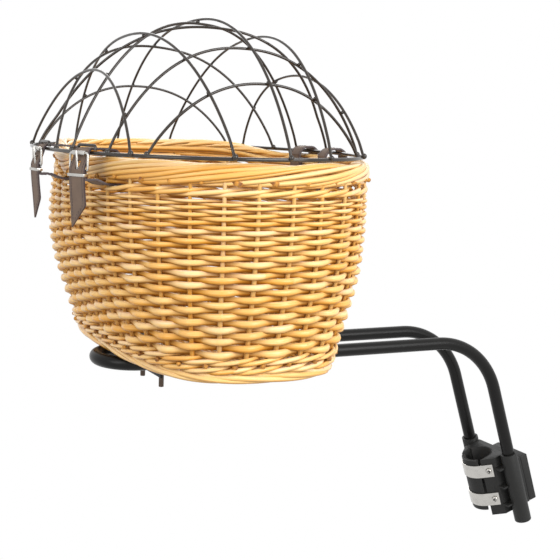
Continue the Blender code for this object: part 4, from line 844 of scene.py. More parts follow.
def piece_from(name, points, edges=(), faces=()):
    """A new object from points in the world."""
    mesh = bpy.data.meshes.new(name)
    mesh.from_pydata([tuple(point) for point in points], list(edges), list(faces))
    thing = bpy.data.objects.new(name, mesh)
    bpy.context.scene.collection.objects.link(thing)
    return thing


def give(mesh, name, kind, values):
    """Store a value on each point of a mesh."""
    attribute = mesh.attributes.new(name, kind, "POINT")
    field = "vector" if kind == "FLOAT_VECTOR" else "value"
    form = np.int32 if kind == "INT" else np.float32
    attribute.data.foreach_set(field, np.asarray(values, form).ravel())


class Bundle:
    """Centrelines of rods or wires, gathered for one sweep. Points are told from the base."""

    def __init__(self):
        self.points = []
        self.edges = []
        # rod_front tells how far forward a rod lies in the weave; the willow finish darkens the rods
        # further back with painted shade.
        self.values = {"rod_radius": [], "rod_number": [], "rod_along": [], "rod_front": []}
        self.count = 0

    def add(self, points, radii, number=0, closed=False, front=1.0):
        points = np.asarray(points, float)
        length = len(points)
        steps = np.linalg.norm(np.diff(points, axis=0), axis=1)
        run = np.concatenate(([0.0], np.cumsum(steps)))
        self.points.append(points)
        for values, value in zip(self.values.values(), (radii, number, run, front)):
            values.append(np.broadcast_to(value, length))
        first = self.count
        self.edges += [(first + i, first + i + 1) for i in range(length - 1)]
        if closed:
            self.edges.append((first + length - 1, first))
        self.count += length

    def sweep(self, name, material, section=1.0, sides=8, seed=0, upright=False):
        """One mesh of all the rods, set down in the world."""
        spots = np.concatenate(self.points) + np.array(BASE)
        thing = piece_from(name, spots, self.edges)
        for label, values in self.values.items():
            kind = "INT" if label == "rod_number" else "FLOAT"
            give(thing.data, label, kind, np.concatenate(values))
        return grown(thing, "sweep", {"Section": section, "Sides": sides, "Seed": seed,
                                      "Upright": upright, "Material": finish_of(material)})


def scattered(name, tree, spots, facings, sizes, material, radius, length, sides=6, seed=0):
    """Small like pieces on points, told from the base."""
    thing = piece_from(name, np.asarray(spots) + np.array(BASE))
    give(thing.data, "facing", "FLOAT_VECTOR", facings)
    give(thing.data, "size", "FLOAT", sizes)
    return grown(thing, tree, {"Radius": radius, "Length": length, "Sides": sides, "Seed": seed,
                               "Material": finish_of(material)})


def settle(thing, body, slot, *replaced):
    """Let a finished piece ride on its body, and hide the nodes that it stands for. Its slot is not
    used.
    """
    if body:
        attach(thing, body)
    if replaced:
        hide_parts(*replaced)
    return thing


def rounded(thing, width, angle):
    """Round an object's edges that are sharper than an angle."""
    edge = thing.modifiers.new("edges", "BEVEL")
    edge.width = width
    edge.segments = ROUNDING_STEPS
    edge.limit_method = "ANGLE"
    edge.angle_limit = angle
    return made_plain(thing)


def smoothed(thing, angle):
    """Shade an object smooth, but for edges that are sharper than an angle."""
    thing.data.shade_smooth()
    thing.data.set_sharp_from_angle(angle=angle)


def dressed(node, body, slot, rounding, finish=None):
    """A node's own shape as a clean mesh with rounded edges, in its finish."""
    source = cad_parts[node].data
    thing = piece_from(node + "_finished", [v.co for v in source.vertices],
                       faces=[tuple(face.vertices) for face in source.polygons])
    made = bmesh.new()
    made.from_mesh(thing.data)
    bmesh.ops.remove_doubles(made, verts=made.verts, dist=SAME_POINT)
    bmesh.ops.dissolve_limit(made, angle_limit=FLAT_ANGLE, verts=made.verts, edges=made.edges)
    made.to_mesh(thing.data)
    made.free()
    rounded(thing, rounding, MOULDED_ANGLE)
    thing.data.materials.append(finish_of(finish or slot))
    smoothed(thing, MOULDED_ANGLE)
    return settle(thing, body, slot, node)


# Shape of the basket

def arc(centre, radius, start, end, steps):
    """Points of an arc, from one angle to another."""
    turns = [start + (end - start) * i / steps for i in range(steps + 1)]
    return [(centre[0] + radius * cos(a), centre[1] + radius * sin(a)) for a in turns]


class Oval:
    """A rounded oval in plan, measured by shares of its own length."""

    samples = 2400

    def __init__(self, half_x, half_y, power):
        self.half = np.array((half_x, half_y))
        self.power = power
        self.turns = np.linspace(0, 2 * pi, self.samples + 1)
        steps = np.hypot(*np.diff(self.at_turns(self.turns), axis=0).T)
        self.run = np.concatenate(([0.0], np.cumsum(steps)))
        self.length = self.run[-1]

    def at_turns(self, turns):
        wave = np.stack((np.cos(turns), np.sin(turns)), axis=-1)
        return self.half * np.sign(wave) * np.abs(wave) ** (2 / self.power)

    def normals(self, spots):
        """Outward directions at points of the oval."""
        slopes = np.sign(spots) * np.abs(spots / self.half) ** (self.power - 1) / self.half
        return slopes / np.linalg.norm(slopes, axis=-1, keepdims=True)

    def at_shares(self, shares):
        """Points and outward directions at shares of the way round."""
        turns = np.interp(np.mod(shares, 1) * self.length, self.run, self.turns)
        spots = self.at_turns(turns)
        return spots, self.normals(spots)

    def share_near(self, spot):
        """The share of the way round that lies nearest a point."""
        edge = self.at_turns(self.turns)
        return self.run[np.argmin(np.hypot(*(edge - np.array(spot)[:2]).T))] / self.length


def flare(height):
    """Half sizes and power of the wall's outer face at a height above the underside."""
    share = sin(pi / 2 * min(max(height / FLARE_HEIGHT, 0), 1)) ** FLARE_POWER
    half_x = BOTTOM_HALF_X + share * (TOP_HALF_X - WALL_INSET - BOTTOM_HALF_X)
    half_y = BOTTOM_HALF_Y + share * (TOP_HALF_Y - WALL_INSET - BOTTOM_HALF_Y)
    return half_x, half_y, BOTTOM_POWER + share * (TOP_POWER - BOTTOM_POWER)


def rim_rise(spots):
    """How far the hand-made rim stands up on its far side, inside the lid's ring."""
    turn = np.arctan2(spots[:, 1], spots[:, 0])
    near = np.clip((FAR_RIM_SPREAD - np.abs(turn - FAR_RIM_TURN)) / FAR_RIM_RAMP, 0, 1)
    return FAR_RIM_RISE * near ** 2 * (3 - 2 * near)


def raised(spots, normals, out, heights):
    """Points at a distance outward and a height, lifted and drawn in where the rim stands up."""
    share = np.clip((heights - RISE_START) / (BORDER_BOTTOM - RISE_START), 0, 1)
    rise = rim_rise(spots) * share ** 2
    plan = spots + normals * (out - rise * FAR_RIM_LEAN_SHARE)[:, None]
    return np.column_stack((plan, heights + rise))


def pitch_at(height):
    """Distance from one course to the next: butts below, tips above."""
    share = (height - FIRST_COURSE) / (LAST_COURSE - FIRST_COURSE)
    return COURSE_PITCH - COURSE_THINNING * share - COURSE_TIPS * max(share, 0) ** 5


def rod_depths(height, section):
    """Radial half thickness of a rod where it passes a stake, and the wall's middle depth."""
    half = pitch_at(height) * (MIDDLE_THICKNESS_SHARE + FRONT_THICKNESS_SHARE) * section
    return half, 2 * half + STAKE_RADIUS - STAKE_BITE


def bent(wave):
    """A wave with straight flanks and rounded turns, as a rod takes round stakes."""
    return np.arcsin(BEND_SHARPNESS * wave) / np.arcsin(BEND_SHARPNESS)


def parted(shares, heights, length, slots):
    """Courses moved up or down so that they leave room for the straps' slots."""
    moved = np.array(heights, float)
    for share, slot in slots:
        near = np.abs(np.mod(shares - share + 0.5, 1) - 0.5) * length
        beyond = near / STRAP_WIDTH - PARTING_CLEAR_SHARE
        weight = np.clip(1 - beyond / PARTING_FADE_SHARE, 0, 1)
        drop = heights - slot
        side = np.where(drop >= 0, 1.0, -1.0)
        moved += weight * (side * np.sqrt(drop ** 2 + SLOT_PARTING ** 2) - drop)
    return moved


# Places on the lid's ring, and straps

def smooth_route(points, steps):
    """A smooth run through the points, with more of them between."""
    ends = [points[0] * 2 - points[1]] + points + [points[-1] * 2 - points[-2]]
    route = []
    for a, b, c, d in zip(ends, ends[1:], ends[2:], ends[3:]):
        for i in range(steps):
            t = i / steps
            route.append((b * 2 + (c - a) * t + (a * 2 - b * 5 + c * 4 - d) * t ** 2
                          + (b * 3 - a - c * 3 + d) * t ** 3) / 2)
    return route + [points[-1]]


RING = Oval(RING_HALF_X, RING_HALF_Y, TOP_POWER)


def ring_normal(degrees):
    """Outward direction of the lid's ring at an angle."""
    return Vector(RING.normals(RING.at_turns(radians(degrees))))


def ring_point(degrees, outward=0.0):
    """A point of the lid's ring in plan."""
    spot = Vector(RING.at_turns(radians(degrees)))
    return spot - Vector((RING_SETBACK, 0)) + ring_normal(degrees) * outward


def reach_to_oval(spot, heading, half_x, half_y, power, halvings=40):
    """How far an oval lies from a spot along a heading; negative when it lies behind."""
    near, far = -TOP_HALF_X, TOP_HALF_X
    for _ in range(halvings):
        middle = (near + far) / 2
        point = spot + heading * middle
        inside = abs(point.x / half_x) ** power + abs(point.y / half_y) ** power < 1
        near, far = (middle, far) if inside else (near, middle)
    return near


class Station:
    """A place on the ring where a strap crosses it, with its outward, side and up axes."""

    def __init__(self, degrees, turn, shift=0.0):
        self.degrees = degrees
        self.skew = turn
        self.shift = shift
        self.origin = ring_point(degrees)
        self.outward = Matrix.Rotation(turn, 2) @ ring_normal(degrees)
        self.side = Vector((-self.outward.y, self.outward.x))
        self.over_ring = RING_WIRE / 2 + GAP + STRAP_THICKNESS / 2
        self.beside_ring = (RING_WIRE / 2 / cos(turn) + STRAP_WIDTH / 2 * tan(abs(turn))
                            + 3 * GAP + STRAP_THICKNESS / 2)
        self.slot = BORDER_BOTTOM - SLOT_DROP - RING_HEIGHT

    def at(self, out, aside, up):
        plan = self.origin + self.outward * out + self.side * aside
        return Vector((*plan, RING_HEIGHT + up))

    def reach(self, aside, half_x, half_y, power):
        return reach_to_oval(self.origin + self.side * aside, self.outward, half_x, half_y, power)

    def border_outer(self):
        return self.reach(0, TOP_HALF_X, TOP_HALF_Y, TOP_POWER)

    def border_inner(self, aside=0.0):
        return self.reach(aside, TOP_HALF_X - BORDER_DEPTH, TOP_HALF_Y - BORDER_DEPTH, TOP_POWER)

    def wall_outer(self, aside=0.0):
        return self.reach(aside, *flare(RING_HEIGHT + self.slot))

    def wall_inner(self, aside=0.0):
        half_x, half_y, power = flare(RING_HEIGHT + self.slot)
        return self.reach(aside, half_x - WALL_THICKNESS, half_y - WALL_THICKNESS, power)

    def slot_place(self):
        """Where the strap goes through the wall: share of the way round, and height."""
        height = RING_HEIGHT + self.slot
        wall = Oval(*flare(height))
        return wall.share_near(self.at(self.wall_outer(self.shift), self.shift, 0)), height

    def spot_on_ring(self, along):
        """A plan point on the ring, a little way along it from the strap."""
        spot, degrees, left = self.origin, self.degrees, abs(along)
        while left > 0:
            degrees += copysign(RING_WALK_DEGREES, along)
            after = ring_point(degrees)
            left -= (after - spot).length
            spot = after
        return spot


def closure_stations():
    return {number: Station(*place, shift=SLOT_SHIFT) for number, place in CLOSURE_STRAPS.items()}


def hinge_stations():
    return {number: Station(*place) for number, place in HINGE_STRAPS.items()}


def frame_reach(station):
    """How far out a buckle's frame stands from the ring."""
    return station.beside_ring + STRAP_THICKNESS / 2 + GAP + ROLLER_DIAMETER / 2


def closure_path(station):
    """A closure strap from the hinge bar, through the wall, over the ring, to its tip."""
    half = STRAP_THICKNESS / 2
    frame_out, hinge_up = frame_reach(station), -BUCKLE_HEIGHT
    bar = BUCKLE_WIRE / 2 + GAP
    shift, slot, lead = station.shift, station.slot, SLOT_LEAD
    end_up = hinge_up - bar
    keeper_low = hinge_up - PRONG_EYE_DIAMETER / 2 - 2 * GAP - KEEPER_HEIGHT
    wall_out = station.wall_outer(shift) + lead
    wall_in = station.wall_inner(shift) - lead / 2
    inside = min(station.border_inner(a) for a in (0, shift)) - GAP - half - lead / 3
    front = frame_out + bar + half
    beside, over = station.beside_ring, station.over_ring
    path = [(frame_out, 0, end_up), (frame_out, 0, (end_up + keeper_low) / 2),
            (frame_out, 0, keeper_low),
            (frame_out - lead * 0.7, shift * 0.06, keeper_low - lead * 0.9),
            ((frame_out + wall_out) / 2, shift * 0.5, slot + lead * 1.3),
            (wall_out, shift * 0.93, slot + lead * 0.06), (wall_in, shift, slot),
            (inside + lead * 0.5, shift, slot + lead * 0.5),
            (inside, shift * 0.95, slot + lead * 1.8), (inside, shift * 0.8, slot + lead * 4),
            (inside, shift * 0.25, -BORDER_HEIGHT * 0.35),
            (inside + lead * 0.2, shift * 0.1, -RING_WIRE * 0.7),
            (inside + lead * 1.6, 0, over * 0.5), (inside * 0.5, 0, over * 0.92),
            (-beside, 0, over)]
    path += [(beside * sin(a), 0, over * cos(a)) for a in (pi / 2 * i / 3 for i in range(4))]
    path += [(beside, 0, -ROLLER_DIAMETER / 2),
             (beside + (front - beside) * 0.35, 0, hinge_up * 0.45),
             (beside + (front - beside) * 0.85, 0, hinge_up * 0.8),
             (front, 0, hinge_up), (front, 0, end_up), (front, 0, keeper_low),
             (front - half, 0, keeper_low - TAIL_LENGTH * 0.25),
             (front - 3 * half, 0, keeper_low - TAIL_LENGTH * 0.6),
             (front - 5 * half, 0, keeper_low - TAIL_LENGTH)]
    return path


def hinge_path(station):
    """A hinge strap: through the wall, round the outside, over the ring and down inside."""
    half, slot, lead = STRAP_THICKNESS / 2, station.slot, SLOT_LEAD
    over = station.over_ring + HINGE_SLACK
    inside = station.border_inner() - GAP - half - lead / 3
    outside = (max(station.border_outer(), station.beside_ring + HINGE_SLACK - half)
               + GAP + half + lead / 3)
    wall_in = station.wall_inner() - lead / 2
    wall_out = station.wall_outer() + lead / 2
    tail = inside - STRAP_THICKNESS - GAP
    return [(inside, 0, slot + lead * 1.4 + HINGE_LAP), (inside, 0, slot + lead * 3),
            (inside, 0, slot + lead * 1.2), (inside + lead * 0.35, 0, slot + lead * 0.35),
            (inside + lead * 1.2, 0, slot), (wall_in, 0, slot), (wall_out - lead, 0, slot),
            (wall_out + half, 0, slot + lead * 0.1), (outside, 0, slot + lead * 1.5),
            (outside, 0, slot + BORDER_HEIGHT / 2), (outside, 0, -RING_WIRE * 0.8),
            (outside * 0.8, 0, over * 0.2), (station.beside_ring * 0.75, 0, over * 0.9),
            (0, 0, over), (inside * 0.45, 0, over * 0.95), (inside * 0.85, 0, over * 0.5),
            (tail, 0, -RING_WIRE * 0.6),
            (tail, 0, slot + HINGE_LAP + lead * 1.4), (tail, 0, slot + lead),
            (tail, 0, slot - lead), (tail - half, 0, -HINGE_TAIL_DROP)]


class StrapRow(NamedTuple):
    """One row across a strap: its edges are told from its centre, its run from the strap's start."""
    centre: Vector
    heading: Vector
    across: Vector
    low: float
    high: float
    run: float


def strap_rows(station, path, steps, taper):
    """A strap row by row, drawn in at one side towards its tip."""
    centre = smooth_route([station.at(*spot) for spot in path], steps)
    hint = Vector((*station.side, 0))
    run = [0.0]
    for a, b in zip(centre, centre[1:]):
        run.append(run[-1] + (b - a).length)
    rows = []
    for i, point in enumerate(centre):
        heading = (centre[min(i + 1, len(centre) - 1)] - centre[max(i - 1, 0)]).normalized()
        across = (hint - heading * hint.dot(heading)).normalized()
        left = run[-1] - run[i]
        tip = min(1, (left + GAP) / taper) if taper else 1
        right = STRAP_WIDTH / 2 - STRAP_WIDTH * (1 - tip)
        rows.append(StrapRow(point, heading, across, -STRAP_WIDTH / 2, right, run[i]))
    return rows


def strap_piece(name, rows, hole):
    """A strap as a solid ribbon with rounded edges, open between two runs in its middle column."""
    points, uvs, faces = [], [], []
    width = len(STRAP_COLUMNS)
    for row in rows:
        for column in STRAP_COLUMNS:
            spot = (row.low + row.high) / 2 + column * (row.high - row.low) / 2
            points.append(row.centre + row.across * spot + BASE)
            uvs.append((row.run, column * STRAP_WIDTH / 2))
    for i, row in enumerate(rows[:-1]):
        for j in range(width - 1):
            if j == width // 2 - 1 and hole[0] < row.run < hole[1]:
                continue
            a = i * width + j
            faces.append((a, a + 1, a + 1 + width, a + width))
    thing = piece_from(name, points, faces=faces)
    layer = thing.data.uv_layers.new(name="strap")
    for loop in thing.data.loops:
        layer.data[loop.index].uv = uvs[loop.vertex_index]
    solid = thing.modifiers.new("thickness", "SOLIDIFY")
    solid.thickness = STRAP_THICKNESS
    solid.offset = 0
    thing.data.materials.append(finish_of("taupe_leather"))
    rounded(thing, STRAP_THICKNESS * STRAP_EDGE_SHARE, STRAP_CORNER_ANGLE)
    smoothed(thing, STRAP_ANGLE)
    return thing


def stitch_places(rows, pitch):
    """Where the stitches lie on both faces of a strap, beside its edges, and which way they run."""
    spots, facings = [], []
    run = np.array([row.run for row in rows])
    for distance in np.arange(pitch, run[-1] - TAIL_TAPER * STITCH_END_SHARE, pitch):
        i = min(int(np.searchsorted(run, distance)), len(rows) - 1)
        row = rows[i]
        narrow = row.high - row.low < STRAP_WIDTH * STITCH_LEAST_WIDTH_SHARE
        if distance < STITCH_START or narrow:
            continue
        before = max(i - 1, 0)
        share = (distance - run[before]) / max(run[i] - run[before], GAP)
        point = rows[before].centre.lerp(row.centre, share)
        face = row.across.cross(row.heading).normalized()
        for side in (-1, 1):
            for edge, inward in ((row.low, 1), (row.high, -1)):
                inset = edge + inward * STRAP_WIDTH * STITCH_INSET_SHARE
                spots.append(point + row.across * inset + face * side * STRAP_THICKNESS / 2)
                facings.append(row.heading)
    return spots, facings


# Woven rods

def strand_wave(t, strand, height, beats, shift):
    """A slow wave along a strand, which starts elsewhere on each strand."""
    return height * np.sin(t * beats + strand * shift)


def drift(chance, count, amount):
    """Slow change round a course, about one."""
    knots = chance.uniform(-1, 1, DRIFT_KNOTS)
    knots[-1] = knots[0]
    return 1 + amount * np.interp(np.linspace(0, DRIFT_KNOTS - 1, count), np.arange(DRIFT_KNOTS), knots)


def rolled_strands(settings, section, start, turn, span, radius, first_number, every=1):
    """Rods that each start at a stake and wind round a rim's section as they run along it."""
    oval, centre_inset, centre_height, half_depth, half_height = section
    bundle = Bundle()
    chance = np.random.default_rng(first_number)
    t = np.linspace(0, 1, STRAND_POINTS)
    ends = np.clip(np.minimum(t, 1 - t) / STRAND_TIP_SHARE, STRAND_TIP_GIRTH, 1)
    thick, loss = STRAND_TAPER
    for strand in range(0, settings.stakes, every):
        run = t * span * chance.uniform(*STRAND_SPANS)
        spots, normals = oval.at_shares((strand + STAKE_PHASE + run) / settings.stakes)
        angle = start + turn * t + chance.uniform(*STRAND_TURNS)
        angle += strand_wave(t, strand, *STRAND_TURN_WAVE)
        bulge = chance.uniform(*STRAND_BULGES) + strand_wave(t, strand, *STRAND_BULGE_WAVE)
        out = half_depth * np.cos(angle) * bulge
        up = half_height * np.sin(angle) * bulge
        radii = radius * chance.uniform(*STRAND_GIRTHS) * ends * (thick - loss * t)
        bundle.add(raised(spots, normals, out - centre_inset, centre_height + up), radii,
                   first_number + strand)
    return bundle


def add_core(bundle, settings, oval, inset, height, radius, number):
    """A rod right round that fills a roll."""
    count = settings.stakes * CORE_STEPS_PER_STAKE
    spots, normals = oval.at_shares(np.arange(count) / count)
    points = raised(spots, normals, np.full(count, -inset), np.full(count, height))
    bundle.add(points, radius, number, closed=True)


def cut_ends(name, settings, row, oval, height, beside, spread, depths, sizes, facing, radius,
             length, sides):
    """The cut ends of rods, one beside each stake."""
    chance = np.random.default_rng(settings.seed + END_SEED + row)
    count = settings.stakes
    shares = np.arange(count) + beside + chance.uniform(-END_WANDER_SHARE, END_WANDER_SHARE, count)
    spots, normals = oval.at_shares(shares / count)
    level = height + chance.uniform(-spread, spread, count)
    places = raised(spots, normals, -chance.uniform(*depths, count), level)
    outward, aside, upward = facing
    tangents = np.column_stack((-normals[:, 1], normals[:, 0]))
    facings = np.column_stack((normals * outward + tangents * aside, np.full(count, upward)))
    thing = scattered(name, "cut_ends", places, facings, chance.uniform(*sizes, count), "cut",
                      radius, length, sides, settings.seed + row)
    settle(thing, "holder", "willow")


# Operators

class BasketWall(bpy.types.Operator):
    """Weave the wall: stakes, courses that thin towards the top, and rows of waling"""
    bl_idname = "dog_basket.wall"
    bl_label = "Weave the wall"

    def execute(self, context):
        settings = context.scene.dog_basket_weave
        slots = [station.slot_place() for station in
                 (*closure_stations().values(), *hinge_stations().values())]
        self.courses(settings, slots)
        self.stakes(settings)
        self.waling(settings, slots)
        return {"FINISHED"}

    def courses(self, settings, slots):
        chance = np.random.default_rng(settings.seed)
        count = settings.stakes * POINTS_PER_STAKE
        steps = np.arange(count)
        phase = pi * steps / POINTS_PER_STAKE
        shares = (steps / POINTS_PER_STAKE + STAKE_PHASE) / settings.stakes
        bundle = Bundle()
        height, course = FIRST_COURSE, 0
        while height < LAST_COURSE:
            pitch = pitch_at(height)
            half, depth = rod_depths(height, settings.section)
            wall = Oval(*flare(height))
            spots, normals = wall.at_shares(shares)
            side = 1 if course % 2 else -1
            front = side * np.cos(phase)
            swing = (depth - half) * bent(front) * drift(chance, count, SWING_DRIFT_SHARE)
            radii = pitch * (MIDDLE_THICKNESS_SHARE + FRONT_THICKNESS_SHARE * front ** 2)
            radii = radii * drift(chance, count, GIRTH_DRIFT_SHARE)
            level = height - pitch * DROOP_SHARE * np.cos(2 * phase)
            level = level + side * pitch * SLANT_SHARE * np.sin(phase)
            level = level + pitch * (drift(chance, count, LEVEL_DRIFT_SHARE) - 1)
            level = parted(shares, level, wall.length, slots)
            number = np.floor((shares + chance.random()) * RODS_PER_COURSE)
            bundle.add(raised(spots, normals, swing - depth, level), radii,
                       course * COURSE_NUMBERS + number, closed=True, front=front)
            height += pitch
            course += 1
        thing = bundle.sweep("basket_courses", "willow", settings.section, settings.rod_sides,
                             settings.seed)
        settle(thing, "holder", "willow", "basket_wall")

    def stakes(self, settings):
        bundle = Bundle()
        chance = np.random.default_rng(settings.seed + STAKE_SEED)
        low_share, high_share = STAKE_ENDS_SHARES
        heights = np.linspace(FOOT_HEIGHT * low_share, BORDER_BOTTOM + BORDER_HEIGHT * high_share,
                              STAKE_STEPS)
        lean = chance.uniform(-STAKE_LEAN_SHARE, STAKE_LEAN_SHARE, settings.stakes)
        for stake in range(settings.stakes):
            share = np.array([(stake + STAKE_PHASE + lean[stake]) / settings.stakes])
            points = []
            for height in heights:
                spots, normals = Oval(*flare(height)).at_shares(share)
                _, depth = rod_depths(min(max(height, FIRST_COURSE), LAST_COURSE), settings.section)
                points.append(raised(spots, normals, np.array([-depth]), np.array([height]))[0])
            taper = np.linspace(*STAKE_TAPER, STAKE_STEPS) * chance.uniform(*STAKE_GIRTHS)
            bundle.add(points, STAKE_RADIUS * taper, stake, front=STAKE_FRONT)
        thing = bundle.sweep("basket_stakes", "stake", 1.0, settings.rod_sides, settings.seed, True)
        settle(thing, "holder", "willow")

    def waling(self, settings, slots):
        """Three rods a row, each before two stakes and behind the third."""
        bundle = Bundle()
        count = settings.stakes * POINTS_PER_STAKE
        steps = np.arange(count) / POINTS_PER_STAKE
        shares = (steps + STAKE_PHASE) / settings.stakes
        chance = np.random.default_rng(settings.seed + WALE_SEED)
        depth = 2 * WALE_ROD + STAKE_RADIUS - STAKE_BITE
        half = WALE_RODS / 2
        mean, gain = WALE_FRONT_SHARES
        for row, (height, rise) in enumerate(WALES):
            wall = Oval(*flare(height))
            spots, normals = wall.at_shares(shares)
            for rod in range(WALE_RODS):
                past = np.mod(steps - rod + half, WALE_RODS) - half
                front = -np.sin(pi / 2 * np.cos(2 * pi * past / WALE_RODS))
                back = past * (WALE_BEHIND_SHARE - half) / WALE_BEHIND_SHARE
                climb = np.where(np.abs(past) < WALE_BEHIND_SHARE, back, past - np.copysign(half, past))
                level = height + climb * rise
                if height > FLARE_HEIGHT:
                    level = parted(shares, level, wall.length, slots)
                out = (depth - WALE_ROD) * front - depth
                first = WALE_NUMBERS + row * WALE_ROW_NUMBERS + rod * WALE_ROD_NUMBERS
                number = first + np.floor((shares + chance.random()) * WALE_PIECES)
                radii = WALE_ROD * (mean + gain * front) * drift(chance, count, WALE_DRIFT_SHARE)
                bundle.add(raised(spots, normals, out, level), radii, number, closed=True, front=front)
        thing = bundle.sweep("basket_waling", "willow", WALE_SECTION, settings.rod_sides, settings.seed)
        settle(thing, "holder", "willow")


class BasketBorder(bpy.types.Operator):
    """Roll the border at the top of the basket over its core, and show the cut ends low on it"""
    bl_idname = "dog_basket.border"
    bl_label = "Roll the border"

    def execute(self, context):
        settings = context.scene.dog_basket_weave
        oval = Oval(TOP_HALF_X, TOP_HALF_Y, TOP_POWER)
        section = (oval, BORDER_DEPTH / 2, BORDER_MIDDLE, BORDER_DEPTH / 2 - BORDER_ROD,
                   BORDER_HEIGHT / 2 - BORDER_ROD)
        bundle = rolled_strands(settings, section, BORDER_START, BORDER_TURN, BORDER_SPAN,
                                BORDER_ROD, BORDER_NUMBERS)
        for number, (out, up) in enumerate(BORDER_CORES, BORDER_CORE_NUMBERS):
            add_core(bundle, settings, oval, BORDER_DEPTH / 2 - out, BORDER_MIDDLE + up,
                     BORDER_CORE_ROD, number)
        thing = bundle.sweep("basket_border_rods", "willow", ROLL_SECTION, settings.rod_sides,
                             settings.seed)
        settle(thing, "holder", "willow", "basket_border")
        cut_ends("border_cut_ends", settings, 0, oval, BORDER_MIDDLE - BORDER_HEIGHT * END_DROP_SHARE,
                 **BORDER_ENDS)
        return {"FINISHED"}


class BasketFoot(bpy.types.Operator):
    """Roll the foot border, and show the cut ends of the waling above it"""
    bl_idname = "dog_basket.foot"
    bl_label = "Roll the foot"

    def execute(self, context):
        settings = context.scene.dog_basket_weave
        oval = Oval(BOTTOM_HALF_X, BOTTOM_HALF_Y, BOTTOM_POWER)
        section = (oval, FOOT_DEPTH / 2, FOOT_HEIGHT / 2, FOOT_DEPTH / 2 - FOOT_ROD,
                   FOOT_HEIGHT / 2 - FOOT_ROD)
        bundle = rolled_strands(settings, section, FOOT_START, FOOT_TURN, FOOT_SPAN, FOOT_ROD,
                                FOOT_NUMBERS, every=2)
        add_core(bundle, settings, oval, FOOT_DEPTH / 2, FOOT_HEIGHT / 2, FOOT_CORE_ROD,
                 FOOT_CORE_NUMBERS)
        thing = bundle.sweep("basket_foot_rods", "willow", ROLL_SECTION, settings.rod_sides,
                             settings.seed)
        settle(thing, "holder", "willow", "basket_foot")
        height = (WALES[0][0] + WALES[1][0]) / 2
        cut_ends("waling_cut_ends", settings, 1, Oval(*flare(height)), height, **WALING_ENDS)
        return {"FINISHED"}


class BasketFloor(bpy.types.Operator):
    """Weave the floor in ovals over sticks"""
    bl_idname = "dog_basket.floor"
    bl_label = "Weave the floor"

    def execute(self, context):
        settings = context.scene.dog_basket_weave
        inset = FOOT_DEPTH + GAP
        half_x, half_y = BOTTOM_HALF_X - inset, BOTTOM_HALF_Y - inset
        steps = np.arange(FLOOR_STICKS * POINTS_PER_STAKE)
        shares = steps / len(steps)
        bundle = Bundle()
        rings = int((half_x - FLOOR_PITCH) / FLOOR_PITCH)
        for ring in range(rings):
            drawn = FLOOR_ROD + ring * FLOOR_PITCH
            power = BOTTOM_POWER + (FLOOR_HEART_POWER - BOTTOM_POWER) * ring / rings
            spots, _ = Oval(half_x - drawn, half_y - drawn, power).at_shares(shares)
            side = 1 if ring % 2 else -1
            level = FLOOR_MIDDLE + FLOOR_SWING * side * bent(np.cos(pi * steps / POINTS_PER_STAKE))
            number = FLOOR_NUMBERS + ring * FLOOR_RING_NUMBERS + np.floor(shares * FLOOR_PIECES)
            bundle.add(np.column_stack((spots, level)), FLOOR_ROD, number, closed=True)
        edge = Oval(half_x, half_y, BOTTOM_POWER)
        flat = np.full(STICK_STEPS, FLOOR_MIDDLE)
        for stick in range(FLOOR_STICKS):
            (end,), _ = edge.at_shares(np.array([stick / FLOOR_STICKS]))
            heart = np.array((0.0, np.clip(end[1], -half_y + half_x, half_y - half_x)))
            line = np.linspace(heart, end * STICK_REACH_SHARE, STICK_STEPS)
            bundle.add(np.column_stack((line, flat)), FLOOR_ROD * STICK_ROD_SHARE,
                       STICK_NUMBERS + stick)
        thing = bundle.sweep("basket_floor_rods", "willow", FLOOR_SECTION, FLOOR_SIDES, settings.seed)
        settle(thing, "holder", "willow", "basket_floor")
        return {"FINISHED"}


def dome_height(x, y):
    """Height of the dome's surface above the ring at a place in plan."""
    across, along = (x + RING_SETBACK) / RING_HALF_X, y / RING_HALF_Y
    spread = min((abs(across) ** TOP_POWER + abs(along) ** TOP_POWER) ** (1 / TOP_POWER), 1)
    crown = (1 - spread ** DOME_SWELL_POWER) ** DOME_CROWN_POWER
    return DOME_HEIGHT * crown * (1 + DOME_TILT_SHARE * along + DOME_LEAN_SHARE * across)


def dome_normal(x, y):
    """Outward direction of the dome's surface."""
    step = RING_WIRE / 4
    slope_x = (dome_height(x + step, y) - dome_height(x - step, y)) / (2 * step)
    slope_y = (dome_height(x, y + step) - dome_height(x, y - step)) / (2 * step)
    return Vector((-slope_x, -slope_y, 1)).normalized()


def arch_route(start, end, bulge_share, skew_share, side, inner, steps):
    """Centreline of one dome wire, on the outer or inner side of the dome's surface."""
    first, last = ring_point(start), ring_point(end)
    chord = last - first
    aside = Vector((-chord.y, chord.x)).normalized() * chord.length * bulge_share
    layer = (ARCH_WIRE + WELD_GAP) / 2
    route = []
    for i in range(1, steps):
        share = (1 - cos(pi * i / steps)) / 2
        bulge = 4 * share * (1 - share) * (1 + skew_share * (share - 0.5))
        spot = first + chord * share + aside * bulge
        height = dome_height(spot.x, spot.y)
        if height < FOOT_RISE:
            continue
        offset = side * layer
        if inner:
            offset -= 2 * layer * min(1, INNER_RAMP * share * (1 - share))
        route.append(Vector((*spot, RING_HEIGHT + height)) + dome_normal(*spot) * offset)
    feet = [Vector((*ring_point(degrees, side * layer), RING_HEIGHT)) for degrees in (start, end)]
    return [feet[0], *route, feet[1]]


def one_wire(name, node, route, radius, settings, closed=False):
    """A wire piece that stands for a node of the dome."""
    bundle = Bundle()
    bundle.add([tuple(point) for point in route], radius, closed=closed)
    thing = bundle.sweep(name, "dark_wire", sides=settings.wire_sides, upright=True)
    settle(thing, "dome", "dark_wire", node)


